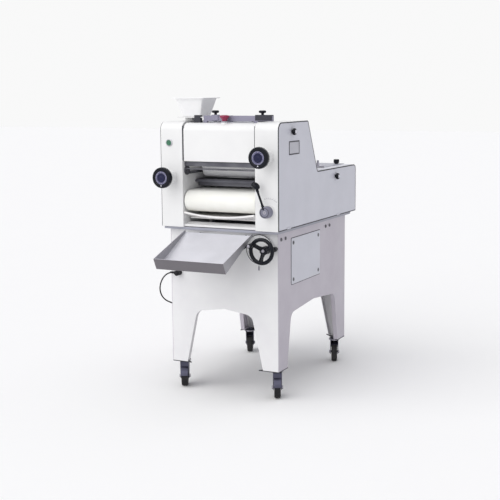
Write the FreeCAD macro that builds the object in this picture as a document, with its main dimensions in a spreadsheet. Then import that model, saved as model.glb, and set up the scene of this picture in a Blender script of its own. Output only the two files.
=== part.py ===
import FreeCAD
import Part
import Sketcher

import math
import os
import re

# Dough moulder on a sheet-metal stand. Millimetres, +X to the operator's right,
# +Y to the back, +Z up. The head's front face is at Y = 0 while the pieces are
# built; every piece is then placed so that the origin lies on the floor, under
# the middle of the whole machine.

SIZES = {
    # head: side profile
    "head_width": 615,
    "head_bottom": 799,
    "head_height": 495,
    "head_top_depth": 335,
    "slope_foot": 449,
    "deck_height": 247,
    "head_depth": 966,
    "front_corner": 38,
    "slope_corner": 14,
    "deck_corner": 28,
    "cover_knob_y": 151,
    "cover_knob_z": 1248,
    "rear_knob_y": 682,
    "rear_knob_z": 1003,
    "cover_knob_radius": 16,
    "cover_knob_depth": 20,
    "stud_radius": 5,
    "tab_front": 90,
    "tab_rear": 700,
    "tab_length": 40,
    "tab_depth": 3,
    "sheet": 2,
    "cover_plate": 2.5,
    "cover_edge": 1,
    "throat_width": 380,
    "side_plate": 10,
    # centre front panel and the cover above the rollers
    "panel_gap_left": 8,
    "panel_gap_right": 3,
    "panel_drop": 5,
    "panel_bottom": 312,
    "panel_return": 16,
    "panel_top_depth": 70,
    "joint_gap": 1,
    "infeed_width": 300,
    "infeed_front": 130,
    "infeed_depth": 135,
    "cover_foot": 1000,
    # stand
    "stand_step": 22,
    "stand_front": 42,
    "stand_depth": 828,
    "stand_sheet": 2.5,
    "stand_flange": 22,
    "leg_foot": 82,
    "leg_taper": 56,
    "arch_shoulder": 390,
    "arch_crown": 411,
    "arch_round": 46,
    "side_foot": 97,
    "side_taper": 46,
    "pan_thickness": 12,
    "pan_step": 7.5,
    "pan_front": 10,
    "pan_depth": 898,
    "door_front": 186,
    "door_length": 343,
    "door_bottom": 526,
    "door_height": 220,
    "door_sheet": 2,
    "door_round": 6,
    "screw_radius": 5,
    "screw_inset": 22,
    # casters
    "wheel_radius": 50,
    "wheel_width": 30,
    "caster_height": 133,
    "caster_inset": 34,
    "caster_setback": 57,
    "caster_trail": 24,
    "caster_turn": 26,
    "corner_plate": 4,
    "corner_plate_leg": 104,
    "bracket_gap": 6,
    "bracket_back": -10,
    "bracket_tip": -170,
    "clamp_x": -152,
    "fork_sheet": 3,
    "fork_gap": 3,
    "axle_radius": 6,
    "run_gap": 0.05,
    "play": 0.3,
    "stem_radius": 8,
    # sheeting rollers
    "roller_radius": 49,
    "roller_spacing": 100,
    "roller_length": 330,
    "shaft_radius": 12.5,
    "upper_roller_y": 150,
    "upper_roller_z": 1200,
    "lower_roller_y": 196,
    "lower_roller_z": 1074,
    "gap_travel": 8,
    "upper_bar_z": 1222,
    "lower_bar_z": 1060,
    "tension_bar_y": 122,
    "tension_bar_z": 912,
    "bar_radius": 8,
    "bar_gap": 7,
    "screw_rod": 6,
    "lever_spindle": 8,
    "bearing_radius": 28,
    "bearing_length": 16,
    "gear_pitch": 50,
    "gear_width": 14,
    "tooth_width": 6,
    "lug_y": 285,
    "gear_addendum": 5.5,
    "gear_dedendum": 7,
    "sprocket_width": 6,
    "sprocket_radius": 24,
    "chain_inner": 224,
    "chain_depth": 3,
    "chain_slot": 690,
    "chain_slot_end": 800,
    "guide_radius": 72,
    # belt
    "belt_front_y": 55,
    "belt_rear_y": 862,
    "belt_z": 922,
    "belt_radius": 50,
    "belt_thickness": 4,
    "belt_width": 370,
    "bed_thickness": 12,
    "bed_front": 134,
    "bed_rear": 805,
    "tension_travel": 6,
    # pressing board and its lift
    "board_gap": 22,
    "board_thickness": 15,
    "board_front": 66,
    "lip_front": -1,
    "lip_sag": 17,
    "lip_mid": 857,
    "lip_thickness": 8,
    "sill_front": 11,
    "sill_depth": 45,
    "sill_top": 812,
    "sill_rise": 9,
    "sill_sheet": 3,
    "post_radius": 8,
    "post_x": 150,
    "post_front_y": 200,
    "post_rear_y": 700,
    "lift_z": 775,
    "lift_bar": 12,
    "lift_bar_width": 40,
    "screw_y": 450,
    "hanger_y": 398,
    "board_rear": 800,
    "screw_jack_radius": 10,
    "bevel_radius": 28,
    # height dial
    "dial_inset": 87.5,
    "dial_z": 710,
    "dial_radius": 70,
    "dial_depth": 12,
    "pointer_offset": 11,
    # handwheel and its lock
    "wheel_inset": 42.5,
    "wheel_z": 714,
    "rim_radius": 54,
    "rim_tube": 7.5,
    "rim_y": -46,
    "hub_radius": 17,
    "spindle_radius": 9,
    "grip_radius": 10.5,
    "grip_length": 46,
    "grip_offset": 49,
    "grip_angle": 145,
    "lock_inset": 9.5,
    "lock_z": 716,
    "lock_radius": 12,
    # gap knobs, lever and buttons
    "knob_offset": 2.75,
    "lower_knob_z": 1037,
    "upper_knob_z": 1140,
    "knob_radius": 49,
    "knob_thickness": 26,
    "knob_front": 96,
    "boss_radius": 31,
    "boss_tip": 20,
    "boss_length": 58,
    "lever_offset": 4.25,
    "lever_z": 891,
    "lever_hub": 27,
    "lever_length": 128,
    "lever_angle": 21,
    "lever_ball": 19,
    "lever_rod": 4.5,
    "lever_y": 40,
    "lever_boss": 10,
    "start_offset": 6.25,
    "start_z": 1196,
    "start_radius": 13,
    "stop_x": 22,
    "stop_y": 27,
    "stop_radius": 23,
    "stop_neck": 12,
    "stop_flare": 14,
    "collar_radius": 16,
    "stop_travel": 6,
    # infeed rail and guides
    "rail_left": -104,
    "rail_right": 253,
    "rail_y": 62,
    "rail_width": 14,
    "rail_height": 25,
    "rail_lift": 8,
    "saddle_wall": 4,
    "guide_low": 1255,
    "left_knob_x": -43,
    "right_knob_x": 200,
    "thumb_radius": 15,
    # flour box and bracket
    "box_x": -200,
    "box_y": 160,
    "box_z": 1316,
    "box_height": 88,
    "box_base": 100,
    "box_mouth": 147,
    "box_rim": 172,
    "box_wall": 2.5,
    # tray
    "tray_half": 178,
    "tray_length": 300,
    "tray_angle": 26.8,
    "tray_back_y": -3,
    "tray_back_z": 775,
    "tray_lip": 56,
    "tray_back_lip": 13,
    "tray_sheet": 1.5,
    # rear cover, net and its rod
    "rear_cover_front": 668,
    "rear_cover_half": 250,
    "net_rod_y": 640,
    "net_length": 200,
    "net_half": 150,
    "net_lead": 60,
    "net_post_x": 228,
    # scrapers in the throat
    "bar_y": 20,
    "bar_z": 1087,
    "clamp_z": 1010,
    "boss_y": 37,
    "boss_z": 1066,
    "cam_back": 28,
    # drive
    "motor_left": -150,
    "motor_shaft_radius": 10,
    "motor_radius": 75,
    "motor_length": 190,
    "motor_y": 600,
    "motor_z": 630,
    "shelf_z": 540,
    # cord
    "cord_radius": 3.3,
    "coil_x": -592,
    "coil_y": 667.5,
    "coil_angle": 30,
    "coil_radius": 32,
    "coil_step": 3.55,
    "coil_rise": 7.1,
    "coil_low": 4.7,
    "coil_tail": 27,
    "gland_inset": 45.5,
    "gland_z": 571,
}

# Sizes that follow from the ones above.
DERIVED = {
    "half": "head_width / 2",
    "head_top": "head_bottom + head_height",
    "deck_top": "head_bottom + deck_height",
    "throat": "throat_width / 2",
    "plate_out": "throat + side_plate",
    "box_out": "half - cover_plate",
    "box_middle": "(plate_out + half) / 2",
    "knob_x": "box_middle - knob_offset",
    "lever_x": "box_middle + lever_offset",
    "start_x": "box_middle + start_offset",
    "slope_run": "slope_foot - head_top_depth",
    "slope_fall": "head_top - deck_top",
    "slope_span": "sqrt(slope_run * slope_run + slope_fall * slope_fall)",
    "slope_shift": "(slope_span - slope_run) / slope_fall",
    "panel_z": "head_bottom + panel_bottom",
    "panel_top": "head_top - panel_drop",
    "stand_top": "head_bottom - pan_thickness",
    "stand_half": "half - stand_step",
    "dial_x": "stand_half - dial_inset",
    "pointer_x": "dial_x - pointer_offset",
    "wheel_x": "stand_half - wheel_inset",
    "lock_x": "stand_half - lock_inset",
    "gland_x": "gland_inset - stand_half",
    "bracket_x": "dial_x - dial_radius - bracket_gap",
    "stand_rear": "stand_front + stand_depth",
    "stand_mid": "stand_front + stand_depth / 2",
    "upper_rear_y": "upper_roller_y + roller_spacing",
    "lower_rear_y": "lower_roller_y + roller_spacing",
    "upper_bar_y": "upper_rear_y + roller_radius + bar_radius + bar_gap",
    "lower_bar_y": "lower_rear_y + roller_radius + bar_radius + bar_gap",
    "chain_outer": "chain_inner + sprocket_width",
    "gear_start": "plate_out + 7",
    "carrier_out": "plate_out + 6",
    "caster_top": "caster_height - corner_plate",
    "caster_x": "stand_half - caster_inset",
    "caster_front_y": "stand_front + caster_setback",
    "caster_rear_y": "stand_rear - caster_setback",
    "rail_bottom": "panel_top + rail_lift",
    "rail_top": "rail_bottom + rail_height",
    "rail_front": "rail_y - rail_width / 2",
    "rail_back": "rail_y + rail_width / 2",
    "belt_inner": "belt_radius - belt_thickness",
    "belt_top": "belt_z + belt_radius",
    "belt_low": "belt_z - belt_radius",
    "board_top": "belt_low - board_gap",
    "tray_tip": "tray_back_y - tray_length * cos(tray_angle) - tray_lip * sin(tray_angle)",
    "origin_y": "(tray_tip + head_depth) / 2",
}

NAMES = {**SIZES, **DERIVED}
V = FreeCAD.Vector
DOC = FreeCAD.newDocument("dough_moulder")
SHEET = DOC.addObject("Spreadsheet::Sheet", "Sizes")
PARTS = []
PLANES = {"x": "YZ_Plane", "y": "XZ_Plane", "z": "XY_Plane"}
TURNS = {
    "x": FreeCAD.Rotation(V(0, 1, 0), 90),
    "y": FreeCAD.Rotation(V(1, 0, 0), -90),
    "z": FreeCAD.Rotation(),
}
DIRECTIONS = {"x": V(1, 0, 0), "y": V(0, 1, 0), "z": V(0, 0, 1)}


def fill_sheet():
    """One row for each size: its name, and its number or formula under that alias."""
    cells = {name: str(size) for name, size in SIZES.items()}
    cells.update({name: "=" + formula for name, formula in DERIVED.items()})
    for row, (name, cell) in enumerate(cells.items(), 1):
        SHEET.set(f"A{row}", name)
        SHEET.set(f"B{row}", cell)
        SHEET.setAlias(f"B{row}", name)
    DOC.recompute()


def bound(text):
    """The expression with each size's name pointing at its cell."""
    return re.sub(r"[a-z_]+", lambda m: "Sizes." * (m.group() in NAMES) + m.group(), str(text))


def number(text):
    """What an expression comes to now."""
    found = SHEET.evalExpression(bound(text))
    return float(getattr(found, "Value", found))


def spot(x, y, z):
    return V(number(x), number(y), number(z))


def bind(piece, **sizes):
    for name, text in sizes.items():
        piece.setExpression(name, bound(text))
    return piece


def move(piece, x=0, y=0, z=0):
    """Placement of a piece, one expression for each axis."""
    for axis, text in zip("xyz", (x, y, z)):
        piece.setExpression(f"Placement.Base.{axis}", bound(text))
    return piece


def block(x, y, z):
    """A box between two expressions on each axis."""
    box = DOC.addObject("Part::Box", "Block")
    for side, (low, high) in zip(("Length", "Width", "Height"), (x, y, z)):
        box.setExpression(side, bound(f"({high}) - ({low})"))
    return move(box, x[0], y[0], z[0])


def centred(axis, centre, start):
    """Three expressions: the start along the axis, and the centre on the other two."""
    spots = list(centre)
    spots.insert("xyz".index(axis), start)
    return spots


def rod(axis, centre, start, end, radius):
    """A cylinder along an axis, between two expressions."""
    cylinder = DOC.addObject("Part::Cylinder", "Rod")
    cylinder.Placement = FreeCAD.Placement(V(), TURNS[axis])
    bind(cylinder, Radius=radius, Height=f"({end}) - ({start})")
    return move(cylinder, *centred(axis, centre, start))


def taper(axis, centre, start, end, first, last):
    """A cone frustum along an axis, with its two radii."""
    cone = DOC.addObject("Part::Cone", "Taper")
    cone.Placement = FreeCAD.Placement(V(), TURNS[axis])
    bind(cone, Radius1=first, Radius2=last, Height=f"({end}) - ({start})")
    return move(cone, *centred(axis, centre, start))


def ball(x, y, z, radius):
    sphere = DOC.addObject("Part::Sphere", "Ball")
    bind(sphere, Radius=radius)
    return move(sphere, x, y, z)


def fuse(*pieces):
    joined = DOC.addObject("Part::MultiFuse", "Joined")
    joined.Shapes = list(pieces)
    joined.Refine = True
    return joined


def cut(base, *tools):
    piece = DOC.addObject("Part::Cut", "Cut")
    piece.Base = base
    piece.Tool = tools[0] if len(tools) == 1 else fuse(*tools)
    return piece


def common(base, tool):
    piece = DOC.addObject("Part::Common", "Shared")
    piece.Base = base
    piece.Tool = tool
    return piece


def group(*pieces):
    together = DOC.addObject("Part::Compound", "Group")
    together.Links = list(pieces)
    return together


def turned(piece, axis, angle, x=0, y=0, z=0):
    """The piece turned about an axis by an expression in degrees, then placed."""
    holder = group(piece)
    holder.Placement = FreeCAD.Placement(V(), FreeCAD.Rotation(DIRECTIONS[axis], 1))
    bind(holder, **{"Placement.Rotation.Angle": angle})
    return move(holder, x, y, z)


def keep(label, *pieces):
    """Names a finished sub-part, and places it from the floor's middle."""
    piece = pieces[0]
    single = piece.TypeId in ("Part::Cut", "PartDesign::Body", "Part::MultiFuse", "Part::Feature")
    if len(pieces) > 1 or not single:
        piece = group(*pieces)
    piece.Label = label
    bind(piece, **{"Placement.Base.y": "-origin_y"})
    PARTS.append(piece)
    return piece


def new_body():
    return DOC.addObject("PartDesign::Body", "Body")


def draw(body, axis, start, corners):
    """A closed polygon on the plane across an axis, each corner held by two expressions."""
    sketch = body.newObject("Sketcher::SketchObject", "Outline")
    plane = [f for f in body.Origin.OriginFeatures if f.Role == PLANES[axis]][0]
    sketch.AttachmentSupport = [(plane, "")]
    sketch.MapMode = "FlatFace"
    sign = "-" if axis == "y" else ""
    bind(sketch, **{"AttachmentOffset.Base.z": f"{sign}({start})"})
    points = [V(number(u), number(v), 0) for u, v in corners]
    for first, last in zip(points, points[1:] + points[:1]):
        sketch.addGeometry(Part.LineSegment(first, last), False)
    count = len(corners)
    for line in range(count):
        sketch.addConstraint(Sketcher.Constraint("Coincident", line, 2, (line + 1) % count, 1))
    for line, (corner, point) in enumerate(zip(corners, points)):
        for kind, text, size in zip(("DistanceX", "DistanceY"), corner, point):
            held = sketch.addConstraint(Sketcher.Constraint(kind, -1, 1, line, 1, size))
            sketch.setExpression(f"Constraints[{held}]", bound(text))
    return sketch


def corner_edges(shape, axis, spots):
    """Names of the edges along an axis that pass through the given spots."""
    along = DIRECTIONS[axis]
    names = []
    for index, edge in enumerate(shape.Edges, 1):
        first, last = edge.Vertexes[0].Point, edge.Vertexes[-1].Point
        if (last - first).Length < 1e-6 or abs(abs((last - first).normalize().dot(along)) - 1) > 1e-6:
            continue
        if any((first - place).cross(along).Length < 1e-3 for place in spots):
            names.append(f"Edge{index}")
    return names


def slab(axis, corners, start, length, rounds=()):
    """A padded outline; rounds is a list of (radius, corner numbers)."""
    body = new_body()
    sketch = draw(body, axis, start, corners)
    pad = body.newObject("PartDesign::Pad", "Pad")
    pad.Profile = sketch
    pad.Reversed = axis == "y"
    bind(pad, Length=length)
    DOC.recompute()
    for radius, numbers in rounds:
        base = body.Tip
        places = [V(*[number(t) for t in centred(axis, corners[i], start)]) for i in numbers]
        fillet = body.newObject("PartDesign::Fillet", "Fillet")
        fillet.Base = (base, corner_edges(base.Shape, axis, places))
        bind(fillet, Radius=radius)
        DOC.recompute()
    return body


def shell(body, wall, openings):
    """Hollows a body inwards; openings are the outward normals of the faces left open."""
    base = body.Tip
    names = []
    for normal in openings:
        reach = [f.CenterOfMass.dot(normal) for f in base.Shape.Faces]
        for index, face in enumerate(base.Shape.Faces, 1):
            flat = face.Surface.TypeId == "Part::GeomPlane"
            if flat and face.normalAt(0, 0).dot(normal) > 0.9 and reach[index - 1] > max(reach) - 1e-3:
                names.append(f"Face{index}")
    thickness = body.newObject("PartDesign::Thickness", "Wall")
    thickness.Base = (base, names)
    thickness.Reversed = True
    thickness.Join = 0
    bind(thickness, Value=wall)
    DOC.recompute()
    return body


def side_profile(inset):
    """The head's side outline, drawn in by an inset all round, as (Y, Z) corners."""
    deep, low, top = f"head_depth - {inset}", f"head_bottom + {inset}", f"head_top - {inset}"
    deck = f"deck_top - {inset}"
    return [
        (inset, low),
        (inset, top),
        (f"head_top_depth - {inset} * slope_shift", top),
        (f"slope_foot - {inset} * slope_shift", deck),
        (deep, deck),
        (deep, low),
    ]


def profile_rounds(inset):
    return [
        (f"front_corner - {inset}", [1]),
        (f"slope_corner - {inset}", [2]),
        (f"slope_corner + {inset}", [3]),
        (f"deck_corner - {inset}", [4]),
    ]


def both_sides(make):
    """A piece on the right and its mirror on the left; make takes the sign of X."""
    return [make(""), make("-")]


def between(sign, low, high):
    """A span on the right, or mirrored on the left."""
    return (low, high) if not sign else (f"-({high})", f"-({low})")



def span(sign, low, high):
    """A pair of expressions on the right, or its mirror on the left."""
    return (low, high) if sign > 0 else (f"-({high})", f"-({low})")


def wide(text):
    """From minus to plus a half width."""
    return (f"-({text})", text)


# Head


def side_boxes():
    walls = []
    for sign in (-1, 1):
        low, high = span(sign, "throat", "box_out")
        wall = slab("x", side_profile("0"), low, f"({high}) - ({low})", profile_rounds("0"))
        walls.append(shell(wall, "sheet", [V(1, 0, 0), V(-1, 0, 0)]))
    button = rod("y", ("-start_x", "start_z"), "-1", "sheet + 1", "start_radius + play")
    low_knob = rod("y", ("-knob_x", "lower_knob_z"), "-1", "sheet + 1", "screw_rod + run_gap")
    top_knob = rod("y", ("knob_x", "upper_knob_z"), "-1", "sheet + 1", "screw_rod + run_gap")
    lever = rod("y", ("lever_x", "lever_z"), "-1", "sheet + 1", "lever_spindle + run_gap")
    slot = block(span(-1, "chain_inner - 4", "chain_outer + 4"), ("chain_slot", "chain_slot_end"),
                 ("head_bottom - 1", "head_bottom + sheet + 1"))
    left = cut(walls[0], button, low_knob, slot)
    keep("side_boxes", left, cut(walls[1], top_knob, lever))


def shaft_slot(y, z, radius, travel):
    """Room in both side plates for a shaft that slides back by a travel."""
    holes = [rod("x", (y, z), "-plate_out - 1", "plate_out + 1", radius)]
    if travel:
        holes.append(rod("x", (f"{y} + {travel}", z), "-plate_out - 1", "plate_out + 1", radius))
        between = (f"{z} - ({radius})", f"{z} + {radius}")
        holes.append(block(wide("plate_out + 1"), (y, f"{y} + {travel}"), between))
    return holes


def side_plates():
    plates = []
    for sign in (-1, 1):
        low, high = span(sign, "throat", "plate_out")
        plates.append(slab("x", side_profile("sheet"), low, f"({high}) - ({low})", profile_rounds("sheet")))
    holes = [
        *shaft_slot("upper_roller_y", "upper_roller_z", "bearing_radius", ""),
        *shaft_slot("lower_roller_y", "lower_roller_z", "bearing_radius", ""),
        *shaft_slot("belt_rear_y", "belt_z", "bearing_radius", ""),
        *shaft_slot("upper_rear_y", "upper_roller_z", "shaft_radius + 1", "gap_travel"),
        *shaft_slot("lower_rear_y", "lower_roller_z", "shaft_radius + 1", "gap_travel"),
        *shaft_slot("upper_bar_y", "upper_bar_z", "bar_radius + run_gap", "gap_travel"),
        *shaft_slot("lower_bar_y", "lower_bar_z", "bar_radius + run_gap", "gap_travel"),
        *shaft_slot("belt_front_y", "belt_z", "shaft_radius + 1", "tension_travel"),
        *shaft_slot("tension_bar_y", "tension_bar_z", "bar_radius + run_gap", "tension_travel"),
    ]
    keep("side_plates", *[cut(plate, *holes) for plate in plates], *pressed_bearings())


def side_covers():
    covers = []
    for sign in (-1, 1):
        low, high = span(sign, "box_out", "half")
        corners = side_profile("cover_edge")
        cover = slab("x", corners, low, f"({high}) - ({low})", profile_rounds("cover_edge"))
        ends = span(sign, "box_out - 1", "half + 1")
        stems = [rod("x", place, *ends, "stud_radius + run_gap") for place in cover_knob_places()]
        tabs = [block(span(sign, "half", "half + tab_depth"), (y, f"{y} + tab_length"),
                      ("head_bottom + 3", "head_bottom + 10")) for y in ("tab_front", "tab_rear")]
        covers.append(fuse(cut(cover, *stems), *tabs))
    keep("side_covers", *covers)


def cover_knob_places():
    return [("cover_knob_y", "cover_knob_z"), ("rear_knob_y", "rear_knob_z")]


def front_panel():
    corners = [
        ("0", "panel_z"),
        ("0", "panel_top"),
        ("panel_top_depth", "panel_top"),
        ("panel_top_depth", "panel_top - sheet"),
        ("sheet", "panel_top - sheet"),
        ("sheet", "panel_z + sheet"),
        ("panel_return", "panel_z + sheet"),
        ("panel_return", "panel_z"),
    ]
    rounds = [("front_corner", [1]), ("front_corner - sheet", [4])]
    width = "throat_width - panel_gap_left - panel_gap_right"
    panel = slab("x", corners, "panel_gap_left - throat", width, rounds)
    tabs = []
    for z in ("panel_z + 20", "panel_top - 90"):
        heights = (z, f"{z} + 24")
        tabs.append(block(("-throat", "panel_gap_left - throat + 12"), ("sheet", "sheet * 2"), heights))
        tabs.append(block(("throat - panel_gap_right - 12", "throat"), ("sheet", "sheet * 2"), heights))
    hole = rod("z", ("stop_x", "stop_y"), "panel_top - 30", "panel_top + 1", "collar_radius")
    keep("front_panel", fuse(cut(panel, hole), *tabs))


def head_cover():
    top, below = "head_top_depth - panel_drop * slope_shift", "panel_top - sheet"
    foot_fall = "(head_top - panel_drop * slope_span / slope_run - cover_foot)"
    foot = f"head_top_depth + {foot_fall} * slope_run / slope_fall"
    corners = [
        ("panel_top_depth + joint_gap", below),
        ("panel_top_depth + joint_gap", "panel_top"),
        (top, "panel_top"),
        (foot, "cover_foot"),
        (f"{foot} - sheet * slope_span / slope_fall", "cover_foot"),
        (f"{top} - sheet * slope_shift", below),
    ]
    cover = slab("x", corners, "-throat", "throat_width")
    slot = block(wide("infeed_width / 2"), ("infeed_front", "infeed_front + infeed_depth"),
                 ("panel_top - 5", "panel_top + 5"))
    keep("head_cover", cut(cover, slot))


def rear_panel():
    """The rear wall with the curved sheet that turns the dough under the belt."""
    wall = block(wide("throat"), ("head_depth - sheet", "head_depth"), ("head_bottom", "deck_top"))
    axis = ("belt_rear_y", "belt_z")
    ends = ("-throat + 2", "throat - 2")
    inside = rod("x", axis, "-throat", "throat", "guide_radius")
    ring = cut(rod("x", axis, *ends, "guide_radius + sheet"), inside)
    behind = block(wide("throat"), ("belt_rear_y", "head_depth"), ("head_bottom", "deck_top"))
    tail = block(ends, ("board_rear + 2", "belt_rear_y"),
                 ("belt_z - guide_radius - sheet", "belt_z - guide_radius"))
    ribs = [block((x, f"{x} + 4"), ("belt_rear_y + guide_radius", "head_depth - sheet"),
                  ("belt_z - 20", "belt_z + 20")) for x in ("-120", "116")]
    keep("rear_panel", fuse(wall, common(ring, behind), tail, *ribs))


def base_pan():
    pan = block(wide("half - pan_step"), ("pan_front", "pan_front + pan_depth"), ("stand_top", "head_bottom"))
    holes = [rod("z", place, "stand_top - 1", "head_bottom + 1", "post_radius + run_gap")
             for place in post_places()]
    jack = rod("z", ("wheel_x", "screw_y"), "stand_top - 1", "head_bottom - 2", "screw_jack_radius + run_gap")
    slot = block(span(-1, "chain_inner - 4", "chain_outer + 4"), ("chain_slot", "chain_slot_end"),
                 ("stand_top - 1", "head_bottom + 1"))
    hanger = block(("wheel_x - 18", "wheel_x + 18"), ("hanger_y", "hanger_y + 6"),
                   ("wheel_z - 18", "stand_top"))
    bore = rod("y", ("wheel_x", "wheel_z"), "hanger_y - 1", "hanger_y + 7", "spindle_radius + run_gap")
    keep("base_pan", cut(pan, *holes, jack, slot), cut(hanger, bore))


def post_places():
    return [(x, y) for x in ("-post_x", "post_x") for y in ("post_front_y", "post_rear_y")]


# Stand


def arch(foot, shoulder, low, high, middle):
    """Outline of a panel with a rounded arch between its two legs."""
    return [
        (low, "caster_height"),
        (low, "stand_top"),
        (high, "stand_top"),
        (high, "caster_height"),
        (f"{high} - ({foot})", "caster_height"),
        (f"{high} - ({shoulder})", "arch_shoulder"),
        (middle, "arch_crown"),
        (f"{low} + {shoulder}", "arch_shoulder"),
        (f"{low} + {foot}", "caster_height"),
    ]


def stand_end_panels():
    inner = "stand_half - stand_sheet"
    corners = arch("leg_foot - stand_sheet", "leg_foot - stand_sheet + leg_taper", f"-({inner})", inner, "0")
    panels = []
    for start, normal in (("stand_front", V(0, 1, 0)), ("stand_rear - stand_flange", V(0, -1, 0))):
        panel = slab("y", corners, start, "stand_flange", [("arch_round", [5, 7])])
        panels.append(shell(panel, "stand_sheet", [normal]))
    spindle = rod("y", ("wheel_x", "wheel_z"), "stand_front - 1", "stand_front + 5",
                  "spindle_radius + run_gap")
    keep("stand_end_panels", cut(panels[0], spindle), panels[1])


def stand_side_panels():
    corners = arch("side_foot", "side_foot + side_taper", "stand_front", "stand_rear", "stand_mid")
    panels = []
    for sign in (-1, 1):
        low, high = span(sign, "stand_half - stand_flange", "stand_half")
        panel = slab("x", corners, low, "stand_flange", [("arch_round", [5, 7])])
        bent = shell(panel, "stand_sheet", [V(-sign, 0, 0), V(0, 1, 0), V(0, -1, 0)])
        inner = span(sign, "stand_half - stand_flange - 1", "stand_half - stand_sheet")
        ends = (("stand_front - 1", "stand_front + stand_flange"),
                ("stand_rear - stand_flange", "stand_rear + 1"))
        corners_cut = [block(inner, end, ("caster_height - 1", "stand_top + 1")) for end in ends]
        panels.append(cut(bent, *corners_cut))
    doorway = block(("stand_half - stand_flange + 1", "stand_half + 1"),
                    ("door_front + 20", "door_front + door_length - 20"),
                    ("door_bottom + 20", "door_bottom + door_height - 20"))
    keep("stand_side_panels", panels[0], cut(panels[1], doorway))


def access_door():
    front, back = "door_front", "door_front + door_length"
    low, high = "door_bottom", "door_bottom + door_height"
    corners = [(front, low), (front, high), (back, high), (back, low)]
    keep("access_door", slab("x", corners, "stand_half", "door_sheet", [("door_round", [0, 1, 2, 3])]))


def door_screw_places():
    return [(y, z) for y in ("door_front + screw_inset", "door_front + door_length - screw_inset")
            for z in ("door_bottom + screw_inset", "door_bottom + door_height - screw_inset")]


def fasteners():
    pieces = []
    for place in door_screw_places():
        start = "stand_half + door_sheet"
        pieces.append(taper("x", place, start, f"{start} + 3", "screw_radius", "screw_radius - 2"))
    for sign in (-1, 1):
        for y in ("stand_front + 32", "stand_front + 80", "stand_front + 564", "stand_front + 614"):
            ends = span(sign, "stand_half", "stand_half + 4")
            pieces.append(rod("x", (y, "stand_top - 32"), *ends, "screw_radius + 1"))
        for place in cover_knob_places():
            stem = rod("x", place, *span(sign, "box_out", "half"), "stud_radius")
            head = rod("x", place, *span(sign, "half", "half + cover_knob_depth"), "cover_knob_radius")
            pieces.append(fuse(stem, head))
    keep("fasteners", *pieces)


def brackets():
    pieces = []
    for x in (-1, 1):
        for low in (True, False):
            corner_y = "stand_front" if low else "stand_rear"
            away = "corner_plate_leg" if low else "-corner_plate_leg"
            corner_x = f"{x} * stand_half"
            corners = [(corner_x, corner_y), (f"{corner_x} - ({x}) * corner_plate_leg", corner_y),
                       (corner_x, f"{corner_y} + ({away})")]
            plate = slab("z", corners, "caster_top", "corner_plate")
            hole = rod("z", (f"{x} * caster_x", "caster_front_y" if low else "caster_rear_y"),
                       "caster_top - 1", "caster_height + 1", "stem_radius + run_gap")
            pieces.append(cut(plate, hole))
    under = "tray_back_z - play / cos(tray_angle)"
    for x in ("-bracket_x - 3", "bracket_x - 3"):
        corners = [
            ("stand_front", f"{under} + (bracket_back - tray_back_y) * tan(tray_angle)"),
            ("bracket_back", f"{under} + (bracket_back - tray_back_y) * tan(tray_angle)"),
            ("bracket_tip", f"{under} + (bracket_tip - tray_back_y) * tan(tray_angle)"),
            ("bracket_tip", f"{under} + (bracket_tip - tray_back_y) * tan(tray_angle) - 12"),
            ("stand_front", f"{under} - 60"),
        ]
        pieces.append(slab("x", corners, x, "6"))
    plate = block(("box_x - 45", "clamp_x + 32"), ("rail_y - 5", "box_y + 40"), ("box_z - 4", "box_z - play"))
    foot = block(("box_x - 40", "box_x"), ("box_y - 40", "box_y + 40"), ("head_top", "box_z - 4"))
    clamp = block(("clamp_x", "clamp_x + 32"), ("rail_y - 10", "rail_y + 10"), ("panel_top", "box_z + 8"))
    pieces.append(fuse(plate, foot, clamp))
    keep("brackets", *pieces)


# Rollers, gears and chains


def toothed(y, z, start, end, phase):
    """A gear across X: a root disc with ten bars through it, two teeth to a bar."""
    pieces = [rod("x", (y, z), start, end, "gear_pitch - gear_dedendum")]
    for bar in range(10):
        tooth = block((start, end), wide("gear_pitch + gear_addendum"), wide("tooth_width / 2"))
        pieces.append(turned(tooth, "x", f"{phase} + 18 * {bar}", 0, y, z))
    return fuse(*pieces)


def sprocket(y, z, side):
    return rod("x", (y, z), *span(side, "chain_inner", "chain_outer"), "sprocket_radius")


def roller(label, y, z, phase, sides):
    """A sheeting roller with its gear; sides lists where it carries a sprocket."""
    barrel = rod("x", (y, z), *wide("roller_length / 2"), "roller_radius")
    left = "-chain_outer - 4" if -1 in sides else "-plate_out - 10"
    right = "chain_outer + 4" if 1 in sides else "gear_start + gear_width + 3"
    shaft = rod("x", (y, z), left, right, "shaft_radius")
    gear = toothed(y, z, "gear_start", "gear_start + gear_width", phase)
    wheels = [sprocket(y, z, side) for side in sides]
    keep(label, fuse(barrel, shaft, gear, *wheels))


def sheeting_rollers():
    roller("upper_front_roller", "upper_roller_y", "upper_roller_z", "0", [-1])
    roller("upper_rear_roller", "upper_rear_y", "upper_roller_z", "9", [])
    roller("lower_front_roller", "lower_roller_y", "lower_roller_z", "0", [-1, 1])
    roller("lower_rear_roller", "lower_rear_y", "lower_roller_z", "9", [])


def belt_rollers():
    front = ("belt_front_y", "belt_z")
    drum = rod("x", front, *wide("belt_width / 2 + 2"), "belt_inner - play")
    keep("belt_front_roller", fuse(drum, rod("x", front, *wide("plate_out + 14"), "shaft_radius")))
    rear = ("belt_rear_y", "belt_z")
    drum = rod("x", rear, *wide("belt_width / 2 + 2"), "belt_inner - play")
    shaft = rod("x", rear, *wide("chain_outer + 4"), "shaft_radius")
    wheels = [sprocket(*rear, side) for side in (-1, 1)]
    keep("belt_drive_roller", fuse(drum, shaft, *wheels))


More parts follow.
